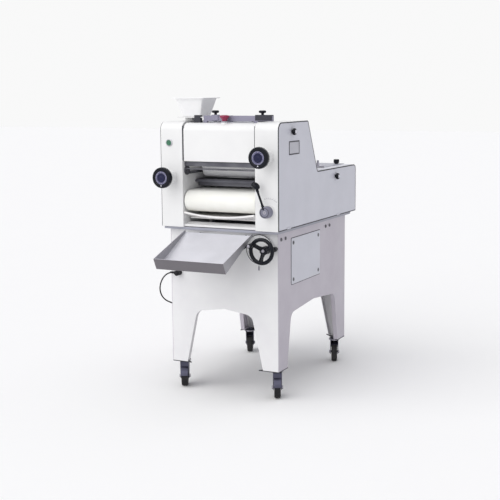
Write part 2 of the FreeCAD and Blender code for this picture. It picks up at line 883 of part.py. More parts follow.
def pressed_bearings():
    rings = []
    for y, z in (("upper_roller_y", "upper_roller_z"), ("lower_roller_y", "lower_roller_z"),
                 ("belt_rear_y", "belt_z")):
        for side in (-1, 1):
            ends = span(side, "throat", "throat + bearing_length")
            wider = span(side, "throat - 1", "throat + bearing_length + 1")
            rings.append(cut(rod("x", (y, z), *ends, "bearing_radius"),
                             rod("x", (y, z), *wider, "shaft_radius + run_gap")))
    return rings


def carrier(label, y, z, bar, corners, lug_x, lug_z):
    """Two bearing plates outside the side plates, joined by a bar; a lug takes the knob's screw."""
    plates = []
    for side in (-1, 1):
        low, high = span(side, "plate_out + play", "carrier_out")
        plate = slab("x", corners, low, f"({high}) - ({low})")
        bore = rod("x", (y, z), *wide("carrier_out + 1"), "shaft_radius + run_gap")
        plates.append(cut(plate, bore))
    joining = rod("x", bar, *wide("carrier_out"), "bar_radius")
    side = 1 if lug_x == "knob_x" else -1
    lug = block(span(side, "carrier_out", "knob_x + 12"), ("lug_y", "lug_y + 12"),
                (f"{lug_z} - 8", f"{lug_z} + 8"))
    bore = rod("y", (lug_x, lug_z), "lug_y - 1", "lug_y + 13", "screw_rod + run_gap")
    keep(label, fuse(*plates, joining, cut(lug, bore)))


def box_corners(front, back, low, high):
    return [(front, low), (front, high), (back, high), (back, low)]


def carriers():
    corners = box_corners("upper_rear_y - 28", "upper_bar_y + 14", "upper_knob_z - 8", "upper_bar_z + 14")
    carrier("upper_carrier", "upper_rear_y", "upper_roller_z", ("upper_bar_y", "upper_bar_z"), corners,
            "knob_x", "upper_knob_z")
    corners = box_corners("lower_rear_y - 28", "lower_bar_y + 14", "lower_knob_z - 8", "lower_roller_z + 30")
    carrier("lower_carrier", "lower_rear_y", "lower_roller_z", ("lower_bar_y", "lower_bar_z"), corners,
            "-knob_x", "lower_knob_z")


def tension_blocks():
    """Bearing blocks of the belt's front roller; an arm meets the lever's cam."""
    corners = box_corners("belt_front_y - 27", "tension_bar_y + 14", "lever_z - 11", "belt_z + 26")
    plates = []
    for side in (-1, 1):
        low, high = span(side, "plate_out + play", "plate_out + 14")
        plate = slab("x", corners, low, f"({high}) - ({low})")
        bore = rod("x", ("belt_front_y", "belt_z"), *wide("plate_out + 15"), "shaft_radius + run_gap")
        plates.append(cut(plate, bore))
    bar = rod("x", ("tension_bar_y", "tension_bar_z"), *wide("plate_out + 14"), "bar_radius")
    arm = block(("plate_out + 14", "lever_x + 4"), ("cam_back + play", "cam_back + 10"),
                ("lever_z - 11", "lever_z + 11"))
    keep("tension_blocks", fuse(*plates, bar, arm))


def hull(first, last, radius, start, end):
    """Two discs across X and the straight band that touches both."""
    (ya, za), (yb, zb) = first, last
    reach = f"sqrt(({yb} - {ya}) ^ 2 + ({zb} - {za}) ^ 2)"
    dy, dz = f"({yb} - {ya}) / {reach} * {radius}", f"({zb} - {za}) / {reach} * {radius}"
    corners = [
        (f"{ya} - {dz}", f"{za} + {dy}"),
        (f"{yb} - {dz}", f"{zb} + {dy}"),
        (f"{yb} + {dz}", f"{zb} - {dy}"),
        (f"{ya} + {dz}", f"{za} - {dy}"),
    ]
    band = slab("x", corners, start, f"({end}) - ({start})")
    return fuse(rod("x", first, start, end, radius), rod("x", last, start, end, radius), band)


def drive_chains():
    runs = [
        (("motor_y", "motor_z"), ("belt_rear_y", "belt_z"), -1),
        (("lower_roller_y", "lower_roller_z"), ("belt_rear_y", "belt_z"), 1),
        (("lower_roller_y", "lower_roller_z"), ("upper_roller_y", "upper_roller_z"), -1),
    ]
    chains = []
    for first, last, side in runs:
        start, end = span(side, "chain_inner", "chain_outer")
        outer = hull(first, last, "(sprocket_radius + play + chain_depth)", start, end)
        low, high = span(side, "chain_inner - 1", "chain_outer + 1")
        chains.append(cut(outer, hull(first, last, "(sprocket_radius + play)", low, high)))
    keep("drive_chains", *chains)


def drive_motor():
    """The motor on a shelf across the stand."""
    axis = ("motor_y", "motor_z")
    can = rod("x", axis, "motor_left", "motor_left + motor_length", "motor_radius")
    nose = taper("x", axis, "motor_left - 24", "motor_left", "motor_radius - 30", "motor_radius")
    fan = rod("x", axis, "motor_left + motor_length", "motor_left + motor_length + 34", "motor_radius - 6")
    foot = block(("motor_left + 20", "motor_left + motor_length - 20"), ("motor_y - 60", "motor_y + 60"),
                 ("shelf_z", "motor_z - motor_radius + 22"))
    wall = block(("motor_left + 60", "motor_left + 130"), ("motor_y - 45", "motor_y + 45"),
                 ("motor_z", "motor_z + motor_radius + 22"))
    bore = rod("x", axis, "motor_left - 25", "motor_left + 41", "motor_shaft_radius + run_gap")
    shelf = block(wide("stand_half - stand_sheet"), ("motor_y - 100", "motor_y + 100"),
                  ("shelf_z - 3", "shelf_z"))
    keep("drive_motor", cut(fuse(can, nose, fan, foot, wall), bore), shelf)
    shaft = rod("x", axis, "-chain_outer - 4", "motor_left + 40", "motor_shaft_radius")
    keep("motor_shaft", fuse(shaft, sprocket(*axis, -1)))


# Belt, pressing board and what lies between them


def conveyor_belt():
    front, rear = ("belt_front_y", "belt_z"), ("belt_rear_y", "belt_z")
    outer = hull(front, rear, "belt_radius", *wide("belt_width / 2"))
    inner = hull(front, rear, "belt_inner", *wide("belt_width / 2 + 1"))
    keep("conveyor_belt", cut(outer, inner))


def belt_bed():
    top = "belt_top - belt_thickness - play"
    keep("belt_bed", block(wide("throat"), ("bed_front", "bed_rear"), (f"{top} - bed_thickness", top)))


def exit_sill():
    """The white bent sheet in front of the pressing board."""
    back = "sill_front + sill_depth"
    corners = [
        ("sill_front", "sill_top"),
        (back, "sill_top + sill_rise"),
        (back, "sill_top + sill_rise - sill_sheet"),
        ("sill_front + sill_sheet", "sill_top - sill_sheet"),
        ("sill_front + sill_sheet", "sill_top - 10"),
        ("sill_front", "sill_top - 10"),
    ]
    keep("exit_sill", slab("x", corners, "-throat", "throat_width"))


def bowed_lip():
    """A sheet that is bowed down at its front edge and flat where it meets the board."""
    body = new_body()
    half_lip = "(belt_width / 2 - 1)"
    places = [f"({i} / 4)" for i in range(-4, 5)]
    front_top = [(f"{u} * {half_lip}", f"lip_mid + lip_sag * {u} * {u}") for u in places]
    rear_top = [(f"{u} * {half_lip}", "board_top") for u in places]
    sections = []
    for start, top in (("lip_front", front_top), ("board_front", rear_top)):
        low = [(x, f"{z} - lip_thickness") for x, z in reversed(top)]
        sections.append(draw(body, "y", start, top + low))
    loft = body.newObject("PartDesign::AdditiveLoft", "Loft")
    loft.Profile = sections[0]
    loft.Sections = [sections[1]]
    loft.Ruled = True
    return body


def pressing_board():
    """The board under the belt, its lip, its guide posts and the frame that lifts it."""
    under = "board_top - board_thickness"
    board = block(wide("throat - 3"), ("board_front", "board_rear"), (under, "board_top"))
    posts = [rod("z", place, "lift_z", under, "post_radius") for place in post_places()]
    bars = [block((f"{x} - 12", f"{x} + 12"), ("post_front_y - 15", "post_rear_y + 15"),
                  ("lift_z - lift_bar", "lift_z")) for x in ("-post_x", "post_x")]
    depth = ("screw_y - lift_bar_width / 2", "screw_y + lift_bar_width / 2")
    across = block(("-post_x - 12", "wheel_x + 22"), depth, ("lift_z - lift_bar", "lift_z"))
    heights = ("lift_z - lift_bar - 1", "lift_z + 1")
    nut = rod("z", ("wheel_x", "screw_y"), *heights, "screw_jack_radius + run_gap")
    frame = cut(fuse(*bars, across), nut)
    keep("pressing_board", fuse(board, bowed_lip(), frame, *posts))


def lift_screw():
    place = ("wheel_x", "screw_y")
    screw = rod("z", place, "wheel_z - bevel_radius", "head_bottom - 2", "screw_jack_radius")
    gear = taper("z", place, "wheel_z - bevel_radius", "wheel_z - bevel_radius / 2",
                 "bevel_radius - play", "bevel_radius / 2 - play")
    keep("lift_screw", fuse(screw, gear))


def roller_scrapers():
    """Bars and arms between the cheeks, in front of and under the lower rollers."""
    across = wide("throat")
    bar = block(across, ("bar_y", "bar_y + 30"), ("bar_z", "bar_z + 20"))
    wire = rod("x", ("bar_y + 6", "bar_z - 13"), *across, "4")
    clamp = block(across, ("lower_roller_y - 66", "lower_roller_y + 54"), ("clamp_z", "clamp_z + 8"))
    blade = block(across, ("lower_roller_y - 78", "lower_roller_y - 66"), ("clamp_z - 6", "clamp_z + 4"))
    flap = block(across, ("lower_roller_y - 48", "lower_roller_y - 46"), ("belt_top + 13", "clamp_z"))
    boss = rod("x", ("boss_y", "boss_z"), *span(-1, "throat - 6", "throat"), "22")
    arm = block(span(-1, "throat - 8", "throat"), ("boss_y + 20", "boss_y + 140"),
                ("boss_z - 18", "boss_z - 6"))
    keep("roller_scrapers", bar, wire, fuse(clamp, blade, flap), fuse(boss, arm))


def curling_net():
    """A mat of thin bars on the belt, hung from a rod between two posts on the deck."""
    posts = [rod("z", (x, "net_rod_y"), "deck_top", "deck_top + 38", "6") for x in wide("net_post_x")]
    bar = rod("x", ("net_rod_y", "deck_top + 16"), "-net_post_x - 6", "net_post_x + 6", "4")
    low = "belt_top + play"
    start = "net_rod_y - net_lead"
    pieces = [fuse(bar, *posts)]
    for i in range(7):
        x = f"-net_half + {i} * (net_half - 2) / 3"
        pieces.append(block((x, f"{x} + 4"), (start, f"{start} + net_length"), (low, f"{low} + 2")))
    for i in range(18):
        y = f"{start} + {i} * (net_length - 4) / 17"
        pieces.append(block(wide("net_half"), (y, f"{y} + 4"), (f"{low} + 2", f"{low} + 4")))
    for x in ("-net_half", "net_half - 6"):
        heights = (f"{low} + 4", "deck_top + 13")
        pieces.append(block((x, f"{x} + 6"), ("net_rod_y - 3", "net_rod_y + 3"), heights))
    keep("curling_net", *pieces)


# Fittings on the front


def front_bosses():
    """Everything fixed to the front faces that knobs, lever and buttons turn or slide in."""
    pieces = []
    for x, z in (("-knob_x", "lower_knob_z"), ("knob_x", "upper_knob_z")):
        boss = taper("y", (x, z), "-boss_length", "0", "boss_tip", "boss_radius")
        pieces.append(cut(boss, rod("y", (x, z), "-boss_length - 1", "1", "screw_rod + run_gap")))
    hub = rod("y", ("lever_x", "lever_z"), "-lever_boss", "0", "lever_hub + 3")
    bore = rod("y", ("lever_x", "lever_z"), "-lever_boss - 1", "1", "lever_spindle + run_gap")
    pieces.append(cut(hub, bore))
    bezel = rod("y", ("-start_x", "start_z"), "-4", "0", "start_radius + 4")
    pieces.append(cut(bezel, rod("y", ("-start_x", "start_z"), "-5", "1", "start_radius + run_gap")))
    collar = rod("z", ("stop_x", "stop_y"), "panel_top - 24", "panel_top + 8", "collar_radius")
    bore = rod("z", ("stop_x", "stop_y"), "panel_top - 25", "panel_top + 9", "stop_neck + run_gap")
    pieces.append(cut(collar, bore))
    keep("front_bosses", *pieces)


def height_dial():
    """A fixed round scale behind the handwheel, with a pointer under it and the wheel's lock."""
    place = ("dial_x", "dial_z")
    foot = rod("y", place, "stand_front - 6", "stand_front", "dial_radius - 12")
    face = rod("y", place, "stand_front - dial_depth", "stand_front - 6", "dial_radius")
    rim = cut(rod("y", place, "stand_front - dial_depth - 2", "stand_front - dial_depth", "dial_radius"),
              rod("y", place, "stand_front - dial_depth - 3", "stand_front", "dial_radius - 4"))
    bore = rod("y", ("wheel_x", "wheel_z"), "-10", "stand_front + 1", "spindle_radius + 1")
    room = rod("y", ("lock_x", "lock_z"), "-10", "stand_front + 1", "lock_radius")
    pointer = block(("pointer_x - 3", "pointer_x + 3"), ("stand_front - 4", "stand_front"),
                    ("dial_z - 100", "dial_z - 76"))
    lock = rod("y", ("lock_x", "lock_z"), "8", "stand_front", "lock_radius")
    keep("height_dial", cut(fuse(foot, face, rim), bore, room), pointer, lock)


def gap_knob(label, x, z):
    """A thick disc with a raised middle, on a screw that reaches its roller carrier."""
    disc = rod("y", (x, z), "-knob_front", "knob_thickness - knob_front", "knob_radius")
    dish = cut(rod("y", (x, z), "-knob_front - 1", "3 - knob_front", "knob_radius - 7"),
               rod("y", (x, z), "-knob_front - 2", "4 - knob_front", "knob_radius - 22"))
    neck = rod("y", (x, z), "knob_thickness - knob_front", "-boss_length - play", "boss_tip")
    screw = rod("y", (x, z), "-boss_length - play", "lug_y + 30", "screw_rod")
    keep(label, fuse(cut(disc, dish), neck, screw))


def gap_knobs():
    gap_knob("lower_gap_knob", "-knob_x", "lower_knob_z")
    gap_knob("upper_gap_knob", "knob_x", "upper_knob_z")


def tension_lever():
    place = ("lever_x", "lever_z")
    hub = rod("y", place, "-lever_boss - 36", "-lever_boss - play", "lever_hub")
    spindle = rod("y", place, "-lever_boss - play", "cam_back", "lever_spindle")
    cam = rod("y", place, "cam_back - 8", "cam_back", "lever_spindle * 2")
    shank = rod("z", ("0", "0"), "0", "lever_length", "lever_rod")
    arm = fuse(shank, ball("0", "0", "lever_length", "lever_ball"))
    leaning = turned(arm, "y", "-lever_angle", "lever_x", "-lever_y", "lever_z")
    keep("tension_lever", fuse(hub, spindle, cam, leaning))


def handwheel():
    place = ("wheel_x", "wheel_z")
    rim = DOC.addObject("Part::Torus", "Rim")
    rim.Placement = FreeCAD.Placement(V(), TURNS["y"])
    bind(rim, Radius1="rim_radius", Radius2="rim_tube")
    move(rim, "wheel_x", "rim_y", "wheel_z")
    hub = rod("y", place, "rim_y + 16", "18", "hub_radius")
    spindle = rod("y", place, "18", "screw_y - bevel_radius / 2", "spindle_radius")
    bevel = taper("y", place, "screw_y - bevel_radius", "screw_y - bevel_radius / 2",
                  "bevel_radius - play", "bevel_radius / 2 - play")
    run, rise = "(rim_radius - 8)", "22"
    spokes = []
    for i in range(3):
        leaning = turned(rod("x", ("0", "0"), "0", f"sqrt({run} ^ 2 + {rise} ^ 2)", "6"), "z",
                         f"-atan({rise} / {run})")
        angle = f"-grip_angle - 120 * {i}"
        spokes.append(turned(leaning, "y", angle, "wheel_x", f"rim_y + {rise}", "wheel_z"))
    pin = rod("y", grip_place(), "rim_y - rim_tube - grip_length - 3", "rim_y", "4")
    tip = "rim_y - rim_tube - grip_length"
    cap = rod("y", grip_place(), f"{tip} - 4", f"{tip} - 1", "7")
    keep("handwheel", fuse(rim, hub, spindle, bevel, *spokes, pin, cap))
    grip = rod("y", grip_place(), "rim_y - rim_tube - grip_length", "rim_y - rim_tube - play", "grip_radius")
    bore = rod("y", grip_place(), "rim_y - rim_tube - grip_length - 1", "rim_y", "4 + run_gap")
    keep("handwheel_grip", cut(grip, bore))


def grip_place():
    return ("wheel_x + grip_offset * cos(grip_angle)", "wheel_z + grip_offset * sin(grip_angle)")


def buttons():
    keep("start_button", rod("y", ("-start_x", "start_z"), "-7", "stand_front", "start_radius"))
    place = ("stop_x", "stop_y")
    low = "panel_top + 8 + stop_travel + play"
    flare = taper("z", place, low, f"{low} + stop_flare", "stop_neck", "stop_radius")
    head = rod("z", place, f"{low} + stop_flare", "panel_top + 37", "stop_radius")
    neck = rod("z", place, "panel_top - 6", low, "stop_neck")
    keep("stop_button", fuse(flare, head, neck))


# Top


def infeed_rail():
    depth = ("rail_front", "rail_back")
    bar = block(("rail_left", "rail_right"), depth, ("rail_bottom", "rail_top"))
    starts = ("rail_left", "throat - 30")
    feet = [block((x, f"{x} + 18"), depth, ("panel_top", "rail_bottom")) for x in starts]
    keep("infeed_rail", fuse(bar, *feet))


def guide(label, low, high, plate_x, knob_x):
    """A saddle on the rail; its plate hangs into the infeed slot and a strap joins the two."""
    front, back = "rail_front - saddle_wall", "rail_back + saddle_wall"
    saddle = block((low, high), (front, back), ("rail_bottom + 4", "rail_top + saddle_wall"))
    room = block((f"{low} - 1", f"{high} + 1"), ("rail_front - run_gap", "rail_back + run_gap"),
                 ("rail_bottom + 3", "rail_top + run_gap"))
    hole = rod("z", (knob_x, "rail_y"), "rail_top - 1", "rail_top + saddle_wall + 1", "stud_radius + run_gap")
    low_z, top_z = "panel_top + 6", "rail_top - 4"
    corners = [
        (back, low_z),
        (back, top_z),
        ("infeed_front + infeed_depth - 3", top_z),
        ("infeed_front + infeed_depth - 3", "guide_low"),
        ("infeed_front + 3", "guide_low"),
        ("infeed_front + 3", low_z),
    ]
    plate = slab("x", corners, f"{plate_x} - 2", "4")
    strap = block((f"{plate_x} - 2", f"{low} + 6"), (back, f"{back} + 4"), (low_z, top_z))
    keep(label, fuse(cut(saddle, room, hole), plate, strap))


def guides():
    guide("left_guide", "left_knob_x - 17", "left_knob_x + 17", "left_knob_x - 15", "left_knob_x")
    guide("right_guide", "right_knob_x - 33", "right_knob_x + 50", "right_knob_x - 60", "right_knob_x")


def thumb_knob(label, x):
    place = (x, "rail_y")
    low = "rail_top + play"
    stem = rod("z", place, low, "rail_top + 15", "stud_radius")
    head = rod("z", place, "rail_top + 15", "rail_top + 23", "thumb_radius")
    wings = block((f"{x} - thumb_radius - 3", f"{x} + thumb_radius + 3"), ("rail_y - 5", "rail_y + 5"),
                  ("rail_top + 15", "rail_top + 23"))
    keep(label, fuse(stem, head, wings))


def thumb_knobs():
    thumb_knob("left_thumb_knob", "left_knob_x")
    thumb_knob("right_thumb_knob", "right_knob_x")


def frustum(low, high, start, height):
    """A square frustum round the flour box's middle: its two widths, start and height."""
    wedge = DOC.addObject("Part::Wedge", "Frustum")
    wedge.Placement = FreeCAD.Placement(V(), FreeCAD.Rotation(V(1, 0, 0), 90))
    bind(wedge, Xmin=f"-{low} / 2", Xmax=f"{low} / 2", Zmin=f"-{low} / 2", Zmax=f"{low} / 2", Ymin="0",
         X2min=f"-{high} / 2", X2max=f"{high} / 2", Z2min=f"-{high} / 2", Z2max=f"{high} / 2", Ymax=height)
    return move(wedge, "box_x", "box_y", start)


def flour_box():
    outer = frustum("box_base", "box_mouth", "box_z", "box_height")
    widths = ("(box_base - box_wall * 2)", "(box_mouth - box_wall * 2)")
    inner = frustum(*widths, "box_z + box_wall", "box_height")
    top = ("box_z + box_height - box_wall * 1.4", "box_z + box_height")
    across, along = ((f"{at} - box_rim / 2", f"{at} + box_rim / 2") for at in ("box_x", "box_y"))
    flange = block(across, along, top)
    keep("flour_box", cut(fuse(outer, flange), inner))


def rear_cover():
    low = "deck_top + play"
    plate = block(wide("rear_cover_half"), ("rear_cover_front", "head_depth - 11"), (low, f"{low} + sheet"))
    hinge = rod("x", ("rear_cover_front", f"{low} + 5"), *wide("rear_cover_half"), "5")
    knob = rod("z", ("rear_cover_half - 33", "head_depth - 49"), f"{low} + sheet", f"{low} + 24", "15")
    keep("rear_cover", fuse(plate, hinge, knob))


def catch_tray():
    """A sloping sheet with a square lip in front and tapered lips at its sides."""
    floor = block(wide("tray_half"), ("-tray_length", "0"), ("0", "tray_sheet"))
    lip = block(wide("tray_half"), ("-tray_length", "tray_sheet - tray_length"), ("0", "tray_lip"))
    corners = [("-tray_length", "0"), ("-tray_length", "tray_lip"), ("0", "tray_back_lip"), ("0", "0")]
    sides = [slab("x", corners, x, "tray_sheet") for x in ("-tray_half", "tray_half - tray_sheet")]
    tray = turned(fuse(floor, lip, *sides), "x", "tray_angle", "0", "tray_back_y", "tray_back_z")
    keep("catch_tray", tray)


# Casters


def caster(label, x, y, angle):
    """Fork and wheel, drawn with the wheel trailing to the front and then turned."""
    disc = rod("z", ("0", "0"), "caster_top - play - 4", "caster_top - play", "28")
    stem = rod("z", ("0", "0"), "caster_top - play", "caster_height + 6", "stem_radius")
    side = "(wheel_width / 2 + fork_gap)"
    crown_low, crown_top = "caster_top - play - 4 - fork_sheet", "caster_top - play - 4"
    crown = block(wide(f"({side} + fork_sheet)"), ("-caster_trail - 26", "27"), (crown_low, crown_top))
    skirt = block(wide(f"({side} + fork_sheet)"), ("-caster_trail - 26", "fork_sheet - caster_trail - 26"),
                  ("wheel_radius + 46", crown_top))
    corners = [
        ("-caster_trail - 26", crown_top),
        ("27", crown_top),
        ("13 - caster_trail", "wheel_radius - 13"),
        ("-caster_trail - 13", "wheel_radius - 13"),
    ]
    starts = (side, f"-{side} - fork_sheet")
    cheeks = [slab("x", corners, start, "fork_sheet", [("10", [2, 3])]) for start in starts]
    axle_place = ("-caster_trail", "wheel_radius")
    axle = rod("x", axle_place, *wide(f"({side} + fork_sheet + 5)"), "axle_radius")
    fork = fuse(disc, stem, crown, skirt, *cheeks, axle)
    keep(f"{label}_fork", turned(fork, "z", angle, x, y))
    flank = "wheel_width / 2"
    tread = rod("x", axle_place, *wide("(wheel_width / 2 - 6)"), "wheel_radius")
    cones = [taper("x", axle_place, f"{flank} - 6", flank, "wheel_radius", "wheel_radius - 4"),
             taper("x", axle_place, f"-{flank}", f"6 - {flank}", "wheel_radius - 4", "wheel_radius")]
    bore = rod("x", axle_place, f"-{flank} - 1", f"{flank} + 1", "axle_radius + run_gap")
    keep(f"{label}_wheel", turned(cut(fuse(tread, *cones), bore), "z", angle, x, y))


def casters():
    caster("front_left_caster", "-caster_x", "caster_front_y", "caster_turn")
    caster("front_right_caster", "caster_x", "caster_front_y", "caster_turn")
    caster("rear_left_caster", "-caster_x", "caster_rear_y", "177 + caster_turn")
    caster("rear_right_caster", "caster_x", "caster_rear_y", "177 + caster_turn")


# Mains cord: gland, free cord, coil and plug

# Corners of the free cord's route, millimetres, from the gland to the coil.
ROUTE = [
    (-262, 25, 571),
    (-288, 25, 571),
    (-322, 27, 547),
    (-345, 34, 512),
    (-358, 47, 475),
    (-360, 68, 440),
    (-353, 95, 414),
    (-345, 130, 398),
    (-346, 170, 380),
    (-356, 212, 342),
    (-374, 256, 292),
    (-398, 298, 235),
    (-423, 337, 175),
    (-447, 376, 117),
    (-469, 417, 65),
    (-490, 461, 25),
]


def coil_spot(u, v, z):
    """A spot given across and along the coil's own direction."""
    angle = math.radians(number("coil_angle"))
    x = number("coil_x") + u * math.cos(angle) - v * math.sin(angle)
    y = number("coil_y") + u * math.sin(angle) + v * math.cos(angle)
    return V(x, y, z)


def route_points():
    low = number("coil_low")
    entry = -number("coil_radius")
    tail = [(entry + 21, -180.7), (entry + 14, -128), (entry + 4, -82), (entry, -45), (entry, -8)]
    return [V(*corner) for corner in ROUTE] + [coil_spot(u, v, low) for u, v in tail]


def rounded_wire(points):
    """Straight runs joined by tangent arcs, and the least arc radius."""
    edges = []
    radii = []
    last = points[0]
    for before, corner, after in zip(points, points[1:], points[2:]):
        back, ahead = before - corner, after - corner
        trim = 0.45 * min(back.Length, ahead.Length)
        back.normalize()
        ahead.normalize()
        half_turn = (math.pi - back.getAngle(ahead)) / 2
        radius = trim / math.tan(half_turn)
        start, end = corner + back * trim, corner + ahead * trim
        inward = (back + ahead).normalize()
        middle = corner + inward * (math.hypot(radius, trim) - radius)
        edges.append(Part.LineSegment(last, start).toShape())
        edges.append(Part.Arc(start, middle, end).toShape())
        radii.append(radius)
        last = end
    edges.append(Part.LineSegment(last, points[-1]).toShape())
    print("cord arc radii:", ", ".join(f"{radius:.0f}" for radius in radii))
    return Part.Wire(edges)


def tube(label, wire):
    """The cord's round section carried along a wire."""
    edge = wire.OrderedEdges[0]
    start = edge.valueAt(edge.FirstParameter)
    along = edge.tangentAt(edge.FirstParameter)
    ring = Part.Wire(Part.makeCircle(number("cord_radius"), start, along))
    solid = wire.makePipeShell([ring], True, False)
    share = solid.Volume / (math.pi * number("cord_radius") ** 2 * wire.Length)
    print(f"{label}: length {wire.Length:.0f} mm, volume against section x length {share:.4f}")
    piece = DOC.addObject("Part::Feature", "Tube")
    piece.Shape = solid
    return piece


def coil_wire():
    """Half turns inwards on the floor, one that climbs, then half turns outwards on top."""
    low, step, rise = number("coil_low"), number("coil_step"), number("coil_rise")
    outer = number("coil_radius")
    radii = [outer - step * i for i in range(4)]
    climb = radii[-1] - 1.1 * step
    out_radii = [climb + step * (i + 1) for i in range(5)]
    x = -outer
    heading = 1
    edges = [Part.LineSegment(coil_spot(x, -8, low), coil_spot(x, 0, low)).toShape()]

    def half_turn(x, heading, radius, z):
        centre = x + heading * radius
        top = coil_spot(centre, heading * radius, z)
        end = centre + heading * radius
        edges.append(Part.Arc(coil_spot(x, 0, z), top, coil_spot(end, 0, z)).toShape())
        return end, -heading

    for radius in radii:
        x, heading = half_turn(x, heading, radius, low)
    lean = climb - math.sqrt(climb ** 2 - rise ** 2 / 4)
    first, crest = x, x + climb - lean
    quarter = math.sqrt(0.5)
    reach, up = (climb - lean) * quarter, rise / 2 * quarter
    edges.append(Part.Arc(coil_spot(first, 0, low),
                          coil_spot(crest - reach, climb * quarter, low + rise / 2 - up),
                          coil_spot(crest, climb, low + rise / 2)).toShape())
    end = first + 2 * (climb - lean)
    edges.append(Part.Arc(coil_spot(crest, climb, low + rise / 2),
                          coil_spot(crest + reach, climb * quarter, low + rise / 2 + up),
                          coil_spot(end, 0, low + rise)).toShape())
    x, heading = end, -1
    for radius in out_radii:
        x, heading = half_turn(x, heading, radius, low + rise)
    tail = number("coil_tail")
    edges.append(Part.LineSegment(coil_spot(x, 0, low + rise), coil_spot(x, tail, low + rise)).toShape())
    return Part.Wire(edges), x


def least_gap(wire):
    """Least distance between strands of the wire, less the cord's thickness."""
    count = int(wire.Length)
    points = [(p.x, p.y, p.z) for p in wire.discretize(count)]
    least = min(math.dist(points[i], points[j]) for i in range(0, count, 2) for j in range(i + 40, count, 2))
    return least - 2 * number("cord_radius")


def cable_gland():
    place = ("gland_x", "gland_z")
    foot = rod("y", place, "10", "stand_front", "13")
    dome = ball("gland_x", "20", "gland_z", "13")
    exit_boss = rod("x", ("25", "gland_z"), "gland_x - 22", "gland_x", "7")
    keep("cable_gland", fuse(foot, dome, exit_boss))


def cord_and_plug():
    keep("mains_cord", tube("mains cord", rounded_wire(route_points())))
    wire, exit_x = coil_wire()
    print(f"coil: least gap to itself {least_gap(wire):.2f} mm")
    coil = tube("cord coil", wire)
    low, top = "coil_low - cord_radius", "coil_low + coil_rise + cord_radius"
    near, far = "coil_radius - 19.3", "coil_radius + cord_radius + play"
    band = cut(block((f"{near} - 1", f"{far} + 1"), ("-4", "4"), (f"{low} - 1.3", f"{top} + 1.3")),
               block((near, far), ("-5", "5"), (f"{low} - play", f"{top} + play")))
    keep("cord_coil", coil, turned(band, "z", "coil_angle", "coil_x", "coil_y"))
    middle = "(coil_low + coil_rise)"
    body = block((f"{exit_x} - 13", f"{exit_x} + 13"), ("coil_tail", "coil_tail + 38"),
                 ("0", f"{middle} * 2"))
    ends = ("coil_tail + 38", "coil_tail + 57")
    pins = [rod("y", (f"{exit_x} + {x}", middle), *ends, "2.4") for x in ("-9.5", "9.5")]
    keep("mains_plug", turned(fuse(body, *pins), "z", "coil_angle", "coil_x", "coil_y"))


def build():
    fill_sheet()
    side_boxes()
    side_plates()
    side_covers()
    front_panel()
    head_cover()
    rear_panel()
    base_pan()
    stand_end_panels()
    stand_side_panels()
    access_door()
    fasteners()
    brackets()
    sheeting_rollers()
    belt_rollers()
    carriers()
    tension_blocks()
    drive_chains()
    drive_motor()
    conveyor_belt()
    belt_bed()
    exit_sill()
    pressing_board()
    lift_screw()
    roller_scrapers()
    curling_net()
    front_bosses()
    height_dial()
    gap_knobs()
    tension_lever()
    handwheel()
    buttons()
    infeed_rail()
    guides()
    thumb_knobs()
    flour_box()
    rear_cover()
    catch_tray()
    casters()
    cable_gland()
    cord_and_plug()
    DOC.recompute()


def check():
    """Stops with a list of whatever is wrong, before any file is written."""
    wrong = [f"{item.Label}: {item.State}" for item in DOC.Objects
             if "Invalid" in item.State or "Error" in item.State]
    for piece in PARTS:
        if piece.Shape.isNull() or not piece.Shape.isValid():
            wrong.append(f"{piece.Label}: bad shape")
    if len({piece.Label for piece in PARTS}) != len(PARTS) or len(PARTS) > 60:
        wrong.append(f"{len(PARTS)} sub-parts")
    if wrong:
        raise RuntimeError("; ".join(wrong))


def export():
    os.makedirs("parts", exist_ok=True)
    for piece in PARTS:
        piece.Shape.exportStep(f"parts/{piece.Label}.step")
    print(f"{len(PARTS)} sub-parts written")


build()
check()
export()
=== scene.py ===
import bmesh
import bpy
import math
import numpy as np
from mathutils import Matrix


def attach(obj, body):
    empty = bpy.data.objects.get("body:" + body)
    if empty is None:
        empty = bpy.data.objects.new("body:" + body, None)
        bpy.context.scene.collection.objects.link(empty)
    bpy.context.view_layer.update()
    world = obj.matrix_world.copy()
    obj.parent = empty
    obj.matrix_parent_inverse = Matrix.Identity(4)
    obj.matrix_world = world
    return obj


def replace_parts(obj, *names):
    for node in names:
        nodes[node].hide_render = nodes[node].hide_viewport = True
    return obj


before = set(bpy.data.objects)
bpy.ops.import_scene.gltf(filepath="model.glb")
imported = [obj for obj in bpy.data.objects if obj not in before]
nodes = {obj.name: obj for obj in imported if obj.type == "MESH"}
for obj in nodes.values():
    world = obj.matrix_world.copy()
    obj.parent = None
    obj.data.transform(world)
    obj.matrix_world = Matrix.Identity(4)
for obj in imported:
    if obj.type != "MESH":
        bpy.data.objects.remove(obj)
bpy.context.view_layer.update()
print("frame loaded:", len(nodes), "nodes")

headFront = -0.3349877  # where the head's front face is in this frame; the pieces below are measured from it


# camera at the photograph's angle
view = {"spot": (2.33562, -4.33, 1.4423), "yaw": 26.6616, "pitch": 8.5966, "roll": -0.4506, "lens": 76.595}


